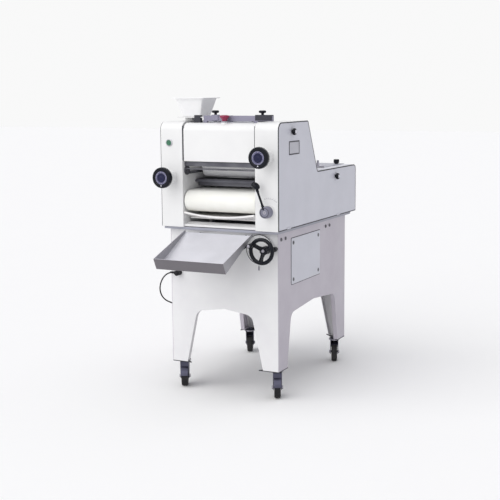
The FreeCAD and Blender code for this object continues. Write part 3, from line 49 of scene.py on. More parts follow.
def makeCamera():
    yaw, pitch, roll = (math.radians(view[k]) for k in ("yaw", "pitch", "roll"))
    ahead = np.array([-math.sin(yaw) * math.cos(pitch), math.cos(yaw) * math.cos(pitch), -math.sin(pitch)])
    side = np.array([math.cos(yaw), math.sin(yaw), 0.0])
    up = np.cross(side, ahead)
    right = side * math.cos(roll) + up * math.sin(roll)
    top = up * math.cos(roll) - side * math.sin(roll)
    data = bpy.data.cameras.new("photoCamera")
    data.lens = view["lens"]
    data.sensor_width = 36
    camera = bpy.data.objects.new("photoCamera", data)
    bpy.context.scene.collection.objects.link(camera)
    matrix = np.eye(4)
    matrix[:3, 0], matrix[:3, 1], matrix[:3, 2] = right, top, -ahead
    matrix[:3, 3] = np.array(view["spot"]) + [0, headFront, 0]
    camera.matrix_world = Matrix(matrix.tolist())
    bpy.context.scene.camera = camera


makeCamera()
print("camera set")


# shader helpers

def startMaterial(name):
    material = bpy.data.materials.new(name)
    material.use_nodes = True
    tree = material.node_tree
    return material, tree, tree.nodes["Principled BSDF"]


def node(tree, kind, **settings):
    made = tree.nodes.new(kind)
    for key, value in settings.items():
        if key.startswith("in_"):
            made.inputs[key[3:].replace("_", " ")].default_value = value
        else:
            setattr(made, key, value)
    return made


def objectSpace(tree, stretch=(1, 1, 1)):
    coords = node(tree, "ShaderNodeTexCoord")
    mapping = node(tree, "ShaderNodeMapping")
    mapping.inputs["Scale"].default_value = stretch
    tree.links.new(coords.outputs["Object"], mapping.inputs["Vector"])
    return mapping.outputs["Vector"]


def noise(tree, vector, scale, detail=3.0, rough=0.55):
    made = node(tree, "ShaderNodeTexNoise", in_Scale=scale, in_Detail=detail, in_Roughness=rough)
    tree.links.new(vector, made.inputs["Vector"])
    return made.outputs["Fac"]


def spread(tree, value, low, high, start=0.3, end=0.7):
    made = node(tree, "ShaderNodeMapRange")
    for key, number in (("From Min", start), ("From Max", end), ("To Min", low), ("To Max", high)):
        made.inputs[key].default_value = number
    tree.links.new(value, made.inputs["Value"])
    return made.outputs["Result"]


def blendColour(tree, value, first, second):
    made = node(tree, "ShaderNodeMix", data_type="RGBA")
    made.inputs[6].default_value = (*first, 1)
    made.inputs[7].default_value = (*second, 1)
    tree.links.new(value, made.inputs[0])
    return made.outputs[2]


def overlay(tree, mask, under, colour, blend="MIX"):
    # a plain colour laid over another where the mask is high
    made = node(tree, "ShaderNodeMix", data_type="RGBA", blend_type=blend)
    made.inputs[7].default_value = (*colour, 1)
    tree.links.new(mask, made.inputs[0])
    tree.links.new(under, made.inputs[6])
    return made.outputs[2]


def softEdge(tree, radius):
    # rounds sharp sheet edges in the shading
    return node(tree, "ShaderNodeBevel", samples=4, in_Radius=radius).outputs["Normal"]


def edgeMask(tree, radius, reach=0.35):
    # 1 near a sharp edge and 0 on flat ground: how far the rounded normal leaves the true one
    soft = softEdge(tree, radius)
    true = node(tree, "ShaderNodeNewGeometry").outputs["Normal"]
    dot = node(tree, "ShaderNodeVectorMath", operation="DOT_PRODUCT")
    tree.links.new(soft, dot.inputs[0])
    tree.links.new(true, dot.inputs[1])
    return spread(tree, dot.outputs["Value"], 1.0, 0.0, 1 - reach, 0.995)


def addBump(tree, shader, height, strength, distance, normal=None):
    bump = node(tree, "ShaderNodeBump", in_Strength=strength, in_Distance=distance)
    tree.links.new(height, bump.inputs["Height"])
    if normal is not None:
        tree.links.new(normal, bump.inputs["Normal"])
    tree.links.new(bump.outputs["Normal"], shader.inputs["Normal"])


# colour, dust and range of roughness
enamels = {
    "whiteEnamel": ((0.80, 0.80, 0.795), (0.76, 0.76, 0.76), (0.30, 0.42)),
    # the stand's end panels: the white enamel a shade darker, painted shade
    "legEnamelPaintedShade": ((0.76, 0.76, 0.765), (0.72, 0.715, 0.73), (0.32, 0.44)),
    # grey-lilac paint, darker partly as painted shade, for the side covers, head cover, door and deck bands
    "greyEnamelAndShade": ((0.62, 0.625, 0.69), (0.585, 0.59, 0.65), (0.34, 0.46)),
    # the stand's side panels: the same white paint darkened as painted shade
    "sideEnamelPaintedShade": ((0.54, 0.51, 0.565), (0.50, 0.465, 0.525), (0.34, 0.46)),
    # the deck cover and the base pan: darkened as painted shade
    "deckEnamelPaintedShade": ((0.35, 0.355, 0.415), (0.32, 0.325, 0.38), (0.34, 0.46)),
    "railEnamel": ((0.26, 0.25, 0.33), (0.23, 0.22, 0.29), (0.34, 0.46)),
    "darkEnamel": ((0.018, 0.018, 0.028), (0.028, 0.028, 0.04), (0.45, 0.6)),
}


# colour, stain, range of roughness and how far the lines are pressed together along each axis
metals = {
    "rolledSteel": ((0.47, 0.47, 0.52), (0.36, 0.36, 0.40), (0.30, 0.46), (1, 24, 24)),
    "zincPlate": ((0.43, 0.42, 0.47), (0.30, 0.29, 0.33), (0.34, 0.52), (5, 5, 1)),
    # the scrapers darkened as painted shade inside the roller throat
    "scraperSteelPaintedShade": ((0.15, 0.15, 0.17), (0.07, 0.07, 0.085), (0.3, 0.46), (1, 24, 24)),
    "forkZinc": ((0.085, 0.085, 0.125), (0.06, 0.06, 0.09), (0.3, 0.45), (5, 5, 1)),
    "boltZinc": ((0.20, 0.20, 0.22), (0.10, 0.10, 0.11), (0.25, 0.4), (5, 5, 5)),
    "turnedSteel": ((0.55, 0.55, 0.58), (0.42, 0.42, 0.45), (0.2, 0.35), (40, 1, 1)),
}


def brush(tree, shader, stretch, rough, metallic):
    # fine lines along one direction, seen in the roughness and the height
    lines = noise(tree, objectSpace(tree, stretch), 30, 4, 0.7)
    tree.links.new(spread(tree, lines, *rough), shader.inputs["Roughness"])
    shader.inputs["Metallic"].default_value = metallic
    addBump(tree, shader, lines, 0.05, 0.0003, softEdge(tree, 0.0009))


def metal(name, bare, dull, rough, stretch):
    # bare sheet and shafts: slow stains under the lines of rolling or turning
    material, tree, shader = startMaterial(name)
    stain = spread(tree, noise(tree, objectSpace(tree), 11, 5), 0.0, 1.0, 0.35, 0.8)
    tree.links.new(blendColour(tree, stain, bare, dull), shader.inputs["Base Color"])
    brush(tree, shader, stretch, rough, 0.85)
    return material


# the up and down colours are painted light: a painted reflection on faces turned up, painted shade on faces
# turned down; the stain is real
traySteel = {"up": (0.74, 0.74, 0.79), "down": (0.17, 0.16, 0.175), "stain": 0.9, "rough": (0.36, 0.5),
             "stretch": (22, 1, 1)}


def trayPaintedLightSheet():
    # brushed sheet with painted light: pale where it faces up, a painted reflection, and darker the more it
    # faces down, painted shade
    material, tree, shader = startMaterial("trayPaintedLightSheet")
    normal = node(tree, "ShaderNodeSeparateXYZ")
    tree.links.new(node(tree, "ShaderNodeNewGeometry").outputs["Normal"], normal.inputs[0])
    paintedLightByFacing = spread(tree, normal.outputs["Z"], 0.0, 1.0, -0.45, 0.89)
    colour = blendColour(tree, paintedLightByFacing, traySteel["down"], traySteel["up"])
    stains = spread(tree, noise(tree, objectSpace(tree), 9, 5), 0.0, 1.0, 0.35, 0.8)
    stained = overlay(tree, stains, colour, [traySteel["stain"]] * 3, "MULTIPLY")
    tree.links.new(stained, shader.inputs["Base Color"])
    brush(tree, shader, traySteel["stretch"], traySteel["rough"], 0.5)
    return material


# colour, dust, range of roughness and fineness of the grain
plastics = {
    "blackPlastic": ((0.012, 0.012, 0.014), (0.022, 0.022, 0.025), (0.32, 0.48), 1400),
    "whitePlastic": ((0.90, 0.90, 0.90), (0.84, 0.84, 0.85), (0.36, 0.5), 700),
    "rollerPlastic": ((0.92, 0.92, 0.93), (0.86, 0.86, 0.88), (0.3, 0.45), 500),
    "greyPlastic": ((0.20, 0.20, 0.26), (0.17, 0.17, 0.22), (0.4, 0.55), 900),
    "greenPlastic": ((0.04, 0.16, 0.09), (0.06, 0.20, 0.12), (0.2, 0.34), 1500),
    "redPlastic": ((0.27, 0.012, 0.06), (0.23, 0.015, 0.055), (0.2, 0.34), 1500),
    "glossBlack": ((0.007, 0.008, 0.012), (0.011, 0.012, 0.018), (0.14, 0.26), 600),
    "dialPlate": ((0.10, 0.095, 0.19), (0.13, 0.125, 0.22), (0.3, 0.42), 900),
    "navyPlastic": ((0.013, 0.014, 0.045), (0.02, 0.021, 0.06), (0.25, 0.4), 900),
    "markWhite": ((0.72, 0.72, 0.78), (0.62, 0.62, 0.68), (0.4, 0.5), 900),
    "markGrey": ((0.22, 0.21, 0.25), (0.28, 0.27, 0.31), (0.4, 0.5), 900),
    "cordRubber": ((0.018, 0.016, 0.018), (0.035, 0.032, 0.034), (0.45, 0.62), 2200),
    "wheelRubber": ((0.016, 0.016, 0.018), (0.06, 0.058, 0.06), (0.5, 0.72), 1100),
}


# how the two kinds of coat vary: scale, detail and range of the mottle, scale of the sheen, width of the worn
# edges with the share and step of their colour, height of the grain, shine of a light and of a black colour
coats = {
    "enamel": {"mottle": (7, 3, 0.35, 0.75), "sheen": 24, "edge": (0.0015, 0.82, 0.03), "height": 0.06,
               "shine": (0.45, 0.45)},
    "plastic": {"mottle": (18, 4, 0.4, 0.8), "sheen": 40, "edge": (0.0012, 1.25, 0.01), "height": 0.08,
                "shine": (0.45, 0.15)},
}


def coated(name, kind, colour, dust, rough, grain=900):
    # powder-coated sheet, moulded plastic or rubber: faint mottle, fine grain, edges worn paler or darker
    coat = coats[kind]
    material, tree, shader = startMaterial(name)
    space = objectSpace(tree)
    scale, detail, start, end = coat["mottle"]
    mottle = spread(tree, noise(tree, space, scale, detail), 0.0, 1.0, start, end)
    width, share, step = coat["edge"]
    edge = [min(1, c * share + step) for c in colour]
    worn = overlay(tree, edgeMask(tree, width), blendColour(tree, mottle, colour, dust), edge)
    tree.links.new(worn, shader.inputs["Base Color"])
    tree.links.new(spread(tree, noise(tree, space, coat["sheen"]), *rough), shader.inputs["Roughness"])
    light, black = coat["shine"]
    shader.inputs["Specular IOR Level"].default_value = black if max(colour) < 0.05 else light
    addBump(tree, shader, noise(tree, space, grain, 2), coat["height"], 0.0002, softEdge(tree, 0.0012))
    return material


canvas = {"threads": 350, "bare": (0.87, 0.865, 0.80), "floured": (0.92, 0.92, 0.885), "rough": 0.85,
          "sheen": 0.2}


def beltCanvas():
    # woven conveyor belt: crossed threads of about a millimetre, flour worked in here and there
    material, tree, shader = startMaterial("beltCanvas")
    space = objectSpace(tree)
    scale = canvas["threads"]
    across = node(tree, "ShaderNodeTexWave", bands_direction="X", in_Scale=scale, in_Distortion=0.6)
    along = node(tree, "ShaderNodeTexWave", bands_direction="Y", in_Scale=scale, in_Distortion=0.6)
    for wave in (across, along):
        tree.links.new(space, wave.inputs["Vector"])
    threads = node(tree, "ShaderNodeMath", operation="MAXIMUM")
    tree.links.new(across.outputs["Fac"], threads.inputs[0])
    tree.links.new(along.outputs["Fac"], threads.inputs[1])
    flour = spread(tree, noise(tree, space, 9, 5), 0.0, 1.0, 0.3, 0.75)
    tree.links.new(blendColour(tree, flour, canvas["bare"], canvas["floured"]), shader.inputs["Base Color"])
    shader.inputs["Roughness"].default_value = canvas["rough"]
    shader.inputs["Sheen Weight"].default_value = canvas["sheen"]
    addBump(tree, shader, threads.outputs[0], 0.15, 0.0003)
    return material


beech = {"dark": (0.82, 0.81, 0.80), "pale": (0.88, 0.87, 0.86)}


def beechLacquer():
    # pressing board: pale lacquered board with a long grain
    material, tree, shader = startMaterial("beechLacquer")
    grain = noise(tree, objectSpace(tree, (30, 1.2, 30)), 9, 6, 0.6)
    lacquered = blendColour(tree, spread(tree, grain, 0, 1), beech["dark"], beech["pale"])
    tree.links.new(lacquered, shader.inputs["Base Color"])
    tree.links.new(spread(tree, grain, 0.35, 0.5), shader.inputs["Roughness"])
    addBump(tree, shader, grain, 0.04, 0.0003)
    return material


finishes = {name: coated(name, "enamel", *look) for name, look in enamels.items()}
finishes.update({name: metal(name, *look) for name, look in metals.items()})
finishes.update({name: coated(name, "plastic", *look) for name, look in plastics.items()})
finishes["trayPaintedLightSheet"] = trayPaintedLightSheet()
finishes["beltCanvas"] = beltCanvas()
finishes["beechLacquer"] = beechLacquer()

# which solids of the frame get each finish
solidsOf = {
    "whiteEnamel": "side_boxes side_plates front_panel rear_panel exit_sill front_bosses",
    # side covers, head cover and door: grey-lilac paint that is partly painted shade
    "greyEnamelAndShade": "side_covers head_cover access_door",
    # base pan and rear cover: dark grey as painted shade
    "deckEnamelPaintedShade": "base_pan rear_cover",
    # the stand's end panels take the white enamel a shade darker as painted shade
    "legEnamelPaintedShade": "stand_end_panels",
    # the stand's side panels: white paint darkened as painted shade
    "sideEnamelPaintedShade": "stand_side_panels",
    "blackPlastic": "fasteners cable_gland mains_plug tension_lever upper_gap_knob lower_gap_knob handwheel "
                    "handwheel_grip left_thumb_knob right_thumb_knob",
    "darkEnamel": "brackets drive_motor tension_blocks upper_carrier lower_carrier right_guide",
    "turnedSteel": "drive_chains belt_drive_roller belt_front_roller lift_screw motor_shaft",
    "beltCanvas": "conveyor_belt",
    "rolledSteel": "belt_bed",
    # the scrapers are near black as painted shade inside the throat
    "scraperSteelPaintedShade": "roller_scrapers",
    "zincPlate": "curling_net",
    "whitePlastic": "height_dial flour_box",
    "railEnamel": "infeed_rail left_guide",
    "cordRubber": "mains_cord cord_coil",
    "rollerPlastic": "upper_front_roller upper_rear_roller lower_front_roller lower_rear_roller",
    "beechLacquer": "pressing_board",
    "greenPlastic": "start_button",
    "redPlastic": "stop_button",
    "trayPaintedLightSheet": "catch_tray",
    "forkZinc": "front_left_caster_fork front_right_caster_fork rear_left_caster_fork rear_right_caster_fork",
    "wheelRubber": "front_left_caster_wheel front_right_caster_wheel rear_left_caster_wheel "
                   "rear_right_caster_wheel",
}

for finish, names in solidsOf.items():
    for name in names.split():
        nodes[name].data.materials.clear()
        nodes[name].data.materials.append(finishes[finish])
print("finishes made:", len(finishes))


# mesh helpers


smoothAngle = math.radians(32)


def addPiece(name, points, faces, finish, body):
    # faces that meet at less than the smooth angle are shaded as one surface
    mesh = bpy.data.meshes.new(name)
    mesh.from_pydata(points.reshape(-1, 3).tolist(), [], faces)
    work = bmesh.new()
    work.from_mesh(mesh)
    bmesh.ops.remove_doubles(work, verts=work.verts, dist=2e-6)
    bmesh.ops.dissolve_degenerate(work, dist=1e-7, edges=work.edges)
    bmesh.ops.recalc_face_normals(work, faces=work.faces)
    work.to_mesh(mesh)
    work.free()
    mesh.materials.append(finishes[finish])
    piece = bpy.data.objects.new(name, mesh)
    bpy.context.scene.collection.objects.link(piece)
    mesh.shade_smooth()
    mesh.set_sharp_from_angle(angle=smoothAngle)
    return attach(piece, body)


def gridFaces(rows, columns, closeRows=False, closeColumns=False):
    # quads between neighbouring points of a grid, wrapped round where a direction is closed
    index = np.arange(rows * columns).reshape(rows, columns)
    down = np.roll(index, -1, 0)
    across = np.roll(index, -1, 1)
    both = np.roll(down, -1, 1)
    quads = np.stack([index, across, both, down], -1)
    quads = quads[: rows if closeRows else rows - 1, : columns if closeColumns else columns - 1]
    return quads.reshape(-1, 4).tolist()


def spots(points):
    # an array of millimetre points into the frame's metres
    return np.asarray(points, float) / 1000 + np.array([0, headFront, 0])


axisRadius = 0.01


def turnedPiece(name, profile, spot, axis, finish, body, steps=64, waves=(0, 0, 0), hexagon=(1e9, 0)):
    # a profile of (radius, height) pairs turned round an axis through spot; one that doesn't end where it
    # starts is closed to the axis. waves gives their count, their depth and the radius beyond which they are
    # cut; rows between hexagon's two radii are six-sided
    if profile[0] != profile[-1]:
        first = [(axisRadius, profile[0][1])] if profile[0][0] > axisRadius else []
        last = [(axisRadius, profile[-1][1])] if profile[-1][0] > axisRadius else []
        profile = first + profile + last
    profile = np.array(profile, float)
    along = np.array(axis, float)
    first = np.cross(along, [0, 0, 1.0]) if abs(along[2]) < 0.9 else np.array([1.0, 0, 0])
    first = first / np.linalg.norm(first)
    second = np.cross(along, first)
    turn = np.linspace(0, 2 * np.pi, steps, endpoint=False)
    ring = np.cos(turn)[:, None] * first + np.sin(turn)[:, None] * second
    radius = np.repeat(profile[:, :1], steps, 1)
    count, depth, least = waves
    radius = radius - (radius > least) * depth * (1 - np.cos(count * turn)) / 2
    sixSided = np.cos(np.pi / 6) / np.cos(turn % (np.pi / 3) - np.pi / 6)
    radius = np.where((radius > hexagon[0]) & (radius < hexagon[1]), radius * sixSided, radius)
    points = np.array(spot, float) + radius[:, :, None] * ring[None] + profile[:, 1, None, None] * along
    return addPiece(name, spots(points), gridFaces(len(profile), steps, False, True), finish, body)


def arc(centre, radius, start, end, count):
    # points of a circular arc, angles in degrees
    turn = np.radians(np.linspace(start, end, count))
    return [(centre[0] + radius * math.cos(t), centre[1] + radius * math.sin(t)) for t in turn]


def outline(corners, radii, steps=7):
    # straight sides joined by tangent arcs, as points of a closed line
    corners = np.array(corners, float)
    made = []
    for i, radius in enumerate(radii):
        corner = corners[i]
        if radius == 0:
            made.append(corner[None])
            continue
        back = corners[i - 1] - corner
        ahead = corners[(i + 1) % len(corners)] - corner
        back, ahead = back / np.linalg.norm(back), ahead / np.linalg.norm(ahead)
        half = math.acos(float(np.clip(back @ ahead, -1, 1))) / 2
        middle = (back + ahead) / np.linalg.norm(back + ahead)
        centre = corner + middle * radius / math.sin(half)
        start, end = (corner + side * radius / math.tan(half) - centre for side in (back, ahead))
        sweep = math.pi - 2 * half
        share = np.linspace(0, 1, steps)[:, None]
        bent = np.sin((1 - share) * sweep) * start + np.sin(share * sweep) * end
        made.append(centre + bent / math.sin(sweep))
    return np.concatenate(made)


def rectangle(across, along, radius, steps=7):
    # a rounded rectangle between two pairs of limits
    (low, high), (near, far) = across, along
    return outline([(low, near), (high, near), (high, far), (low, far)], [radius] * 4, steps)


def inward(line):
    # at each point of a closed line, the step that moves both its sides in by one
    edge = np.roll(line, -1, 0) - line
    edge = edge / np.linalg.norm(edge, axis=1)[:, None]
    area = (line[:, 0] * np.roll(line[:, 1], -1) - line[:, 1] * np.roll(line[:, 0], -1)).sum()
    side = np.stack([-edge[:, 1], edge[:, 0]], 1) * np.sign(area)
    before = np.roll(side, 1, 0)
    return (side + before) / (1 + (side * before).sum(1))[:, None]


def onPlane(flat, level, axis):
    # plane coordinates and a level across them, as points; x: (y, z), y: (x, z), z: (x, y)
    level = np.broadcast_to(level, flat.shape[:-1])
    order = {"x": (2, 0, 1), "y": (0, 2, 1), "z": (0, 1, 2)}[axis]
    return np.stack([(flat[..., 0], flat[..., 1], level)[k] for k in order], -1)


def edgeStrip(name, line, section, axis, finish, body):
    # a small section, as (inset, level) pairs, carried round a closed line
    section = np.array(section, float)
    flat = line[None] + section[:, 0, None, None] * inward(line)[None]
    points = onPlane(flat, section[:, 1, None], axis)
    return addPiece(name, spots(points), gridFaces(len(section), len(line), True, True), finish, body)


def plate(name, line, axis, start, end, chamfer, finish, body):
    # a flat plate between two levels, its edges chamfered
    step = math.copysign(chamfer, end - start)
    rows = [(chamfer, start), (0, start + step), (0, end - step), (chamfer, end)]
    flat = np.stack([line + inset * inward(line) for inset, _ in rows])
    points = onPlane(flat, np.array([level for _, level in rows])[:, None], axis)
    count = len(line)
    faces = gridFaces(4, count, False, True) + [list(range(count)), list(range(3 * count, 4 * count))]
    return addPiece(name, spots(points), faces, finish, body)


def sweptPiece(name, path, across, sizes, finish, body, steps=24):
    # an oval of changing half sizes carried along a path, its ends closed
    path, sizes = np.array(path, float), np.array(sizes, float)
    path = np.concatenate([path[:1], path, path[-1:]])
    sizes = np.concatenate([sizes[:1] * 0.001, sizes, sizes[-1:] * 0.001])
    ahead = np.gradient(path[1:-1], axis=0)
    ahead = np.concatenate([ahead[:1], ahead, ahead[-1:]])
    ahead = ahead / np.linalg.norm(ahead, axis=1)[:, None]
    side = np.array(across, float) - (ahead @ np.array(across, float))[:, None] * ahead
    side = side / np.linalg.norm(side, axis=1)[:, None]
    other = np.cross(ahead, side)
    turn = np.linspace(0, 2 * np.pi, steps, endpoint=False)
    points = path[:, None] + sizes[:, 0, None, None] * np.cos(turn)[None, :, None] * side[:, None]
    points = points + sizes[:, 1, None, None] * np.sin(turn)[None, :, None] * other[:, None]
    return addPiece(name, spots(points), gridFaces(len(path), steps, False, True), finish, body)


def marks(name, centre, level, first, last, width, angles, finish, body):
    # short raised lines across Y, pointing away from a centre
    angles = np.radians(np.array(angles, float))[:, None]
    reach = np.array([first, last, last, first, first, last, last, first])
    aside = np.array([-1, -1, 1, 1, -1, -1, 1, 1]) * width / 2
    x = centre[0] + reach * np.cos(angles) - aside * np.sin(angles)
    z = centre[1] + reach * np.sin(angles) + aside * np.cos(angles)
    y = np.broadcast_to(np.array([level] * 4 + [level - 0.35] * 4), x.shape)
    box = np.array([(0, 1, 2, 3), (4, 7, 6, 5), (0, 4, 5, 1), (1, 5, 6, 2), (2, 6, 7, 3), (3, 7, 4, 0)])
    faces = (box[None] + 8 * np.arange(len(angles))[:, None, None]).reshape(-1, 4).tolist()
    return addPiece(name, spots(np.stack([x, y, z], -1)), faces, finish, body)


# mains cord

cord = {"radius": 0.0033, "length": 1.89, "coilSpot": (-592.0, 667.5), "coilTurn": 30, "coilRadius": 32,
        "step": 3.55, "rise": 7.1, "low": 4.7, "tail": 27}

routeCorners = [
    (-262, 25, 571), (-288, 25, 571), (-322, 27, 547), (-345, 34, 512), (-358, 47, 475), (-360, 68, 440),
    (-353, 95, 414), (-345, 130, 398), (-346, 170, 380), (-356, 212, 342), (-374, 256, 292),
    (-398, 298, 235), (-423, 337, 175), (-447, 376, 117), (-469, 417, 65), (-490, 461, 25),
]


def coilPlace(u, v, z):
    # across and along the coil's own direction, into millimetres from the head
    turn = math.radians(cord["coilTurn"])
    u, v, z = np.broadcast_arrays(np.asarray(u, float), v, z)
    x = cord["coilSpot"][0] + u * math.cos(turn) - v * math.sin(turn)
    y = cord["coilSpot"][1] + u * math.sin(turn) + v * math.cos(turn)
    return np.stack([x, y, z], -1)


def halfTurns():
    # half circles whose radius falls by a step each, one that climbs, then half circles that grow again
    radii = [cord["coilRadius"] - cord["step"] * i for i in range(4)]
    climb = radii[-1] - 1.1 * cord["step"]
    outwards = [climb + cord["step"] * (i + 1) for i in range(5)]
    x, heading, made = -cord["coilRadius"], 1, []
    for number, radius in enumerate(radii + [climb] + outwards):
        turn = np.linspace(0, np.pi, 9)[:-1]
        climbed = 0.0 if number < 4 else 1.0 if number > 4 else (1 - np.cos(turn)) / 2
        u = x + heading * radius * (1 - np.cos(turn))
        made.append(coilPlace(u, heading * radius * np.sin(turn), cord["low"] + cord["rise"] * climbed))
        x, heading = x + 2 * heading * radius, -heading
    return np.concatenate(made), x


def makeCord():
    turns, exitX = halfTurns()
    entry = -cord["coilRadius"]
    approach = coilPlace([entry + 21.0, entry + 14.0, entry + 4.0, entry, entry],
                         [-180.7, -128.0, -82.0, -45.0, -8.0], cord["low"])
    leave = coilPlace(exitX, [0.0, 13.0, cord["tail"] + 2.0], cord["low"] + cord["rise"])
    route = spots(np.concatenate([np.array(routeCorners, float), approach, turns, leave]))
    data = bpy.data.curves.new("mainsCord", "CURVE")
    data.dimensions = "3D"
    data.bevel_depth = cord["radius"]
    data.bevel_resolution = 3
    data.use_fill_caps = True
    spline = data.splines.new("NURBS")
    spline.points.add(len(route) - 1)
    spline.points.foreach_set("co", np.c_[route, np.ones(len(route))].astype(np.float32).ravel())
    spline.order_u = 3
    spline.use_endpoint_u = True
    spline.resolution_u = 6
    data.materials.append(finishes["cordRubber"])
    piece = bpy.data.objects.new("mainsCord", data)
    bpy.context.scene.collection.objects.link(piece)
    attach(piece, "machine")
    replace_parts(piece, "mains_cord", "cord_coil")
    return piece, exitX


def makePlug(exitX):
    # a waist that swells into a flat grip: (distance along, half width, half height) at each station
    stations = np.array([
        (-2, 0.01, 0.01), (-2, 3.7, 3.7), (6, 4.6, 4.6), (10, 7.0, 6.4), (16, 11.2, 9.6),
        (24, 13.0, 11.6), (34, 13.0, 11.8), (39, 12.4, 11.4), (40, 11.0, 10.4), (40, 0.01, 0.01),
    ])
    start, level = cord["tail"] - 2, cord["low"] + cord["rise"]
    path = coilPlace(exitX, start + stations[:, 0], level)
    turn = math.radians(cord["coilTurn"])
    across = (math.cos(turn), math.sin(turn), 0)
    ahead = (-math.sin(turn), math.cos(turn), 0)
    rings = np.linspace(0, 2 * np.pi, 48, endpoint=False)
    boxy = [np.sign(f) * np.abs(f) ** 0.625 for f in (np.cos(rings), np.sin(rings))]
    points = path[:, None] + stations[:, 1, None, None] * boxy[0][None, :, None] * np.array(across)
    points = points + stations[:, 2, None, None] * boxy[1][None, :, None] * np.array([0, 0, 1.0])
    faces = gridFaces(len(stations), len(rings), False, True)
    body = addPiece("plugBody", spots(points), faces, "blackPlastic", "machine")
    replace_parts(body, "mains_plug")
    pins = []
    pin = [(2.4, 0), (2.4, 17), (1.9, 18.6), (axisRadius, 19)]
    for name, side in (("plugPinLeft", -9.5), ("plugPinRight", 9.5)):
        spot = coilPlace(exitX + side, start + 40, level)
        pins.append(turnedPiece(name, pin, spot, ahead, "turnedSteel", "machine", 24))
    return [body, *pins]


def makeTie():
    # a flat band round all strands: a rounded rectangle, 8 wide
    right, left = cord["coilRadius"] + 3.6, cord["coilRadius"] - 19.3
    line = rectangle((left, right), (0.6, 15.6), 3, 6)
    rows = []
    for inset, v in ((0, -4), (0, 4), (0.9, 4), (0.9, -4)):
        flat = line + inset * inward(line)
        rows.append(coilPlace(flat[:, 0], float(v), flat[:, 1]))
    faces = gridFaces(4, len(line), True, True)
    return addPiece("coilTie", spots(np.stack(rows)), faces, "blackPlastic", "machine")


def makeRelief():
    # a sleeve that tapers in five ribs where the cord leaves the gland
    profile = [(6.6, 0), (6.6, 2)]
    for i in range(5):
        high, low, start = 6.2 - i * 0.5, 5.0 - i * 0.35, 2.6 + i * 3.6
        profile += [(high, start), (high, start + 2), (low, start + 2.6), (low, start + 3.4)]
    profile += [(3.7, 22), (3.4, 22.2)]
    turnedPiece("strainRelief", profile, (-261, 25, 571), (-1, 0, 0), "blackPlastic", "machine", 40)


mainsCord, plugX = makeCord()
plugPieces = makePlug(plugX)
coilTie = makeTie()
makeRelief()
print("cord made")


# front controls

forward, backward, upward = (0, -1, 0), (0, 1, 0), (0, 0, 1)

gapKnob = {"radius": 49, "depth": 26, "flutes": 36, "fluteDepth": 0.9, "groove": (21.0, 31.0),
           "grooveDepth": 1.6, "marks": 40, "back": -70, "neck": 20, "threads": 124, "pitch": 3.0}


def makeGapKnob(body, x, z):
    r, d, back, neck = (gapKnob[k] for k in ("radius", "depth", "back", "neck"))
    low, high = gapKnob["groove"]
    ground = d - gapKnob["grooveDepth"]
    disc = [(r - 5, 0), (r - 1.5, 1.5), (r, 5), (r, d - 6), (r - 1.2, d - 2.2), (r - 4, d), (high + 4, d),
            (high, d - 1), (high, ground), (low, ground), (low, d - 1), (low - 0.6, d)]
    waves = (gapKnob["flutes"], gapKnob["fluteDepth"], r - 2)
    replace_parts(turnedPiece(body + "Disc", disc, (x, back, z), forward, "glossBlack", body, 216, waves), body)
    front = back - ground
    scale = [(low + 0.4, 0), (high - 0.4, 0), (high - 0.4, 0.5), (low + 0.4, 0.5), (low + 0.4, 0)]
    turnedPiece(body + "Scale", scale, (x, front, z), forward, "dialPlate", body, 96)
    every = np.arange(gapKnob["marks"]) * 360 / gapKnob["marks"]
    marks(body + "Marks", (x, z), front - 0.5, high - 4.5, high - 1, 0.7, every, "markWhite", body)
    marks(body + "LongMarks", (x, z), front - 0.5, high - 7.5, high - 1, 1.1, every[::5], "markWhite", body)
    cap = [(19.6, 0), (19.6, 0.5), (18.8, 1.2), (15, 1.5), (14, 1.0), (9, 1.0), (8, 1.5), (axisRadius, 1.6)]
    turnedPiece(body + "Cap", cap, (x, back - d, z), forward, "navyPlastic", body, 72)
    pointer = np.array([(x - 4, z - high - 8), (x + 4, z - high - 8), (x, z - high - 0.5)])
    plate(body + "Pointer", pointer, "y", back - d + 0.1, back - d - 0.5, 0.15, "markWhite", body)
    collar = [(neck, 0), (neck, 10), (neck - 1, 11.7)]
    turnedPiece(body + "Neck", collar, (x, back, z), backward, "whitePlastic", body, 64)
    screw = [(axisRadius, 0)]
    for i in range(gapKnob["threads"]):
        start = i * gapKnob["pitch"]
        screw += [(6.0, start + 0.2), (6.0, start + 1.2), (5.3, start + 1.8), (5.3, start + 2.6)]
    screw += [(axisRadius, gapKnob["threads"] * gapKnob["pitch"] + 1)]
    turnedPiece(body + "Screw", screw, (x, back + 11.7, z), backward, "turnedSteel", body, 20)


lever = {"spot": (258, -40, 891), "back": -10.3, "lean": 21, "length": 128, "ball": 19, "rod": 5.5, "hub": 27,
         "scale": 60}


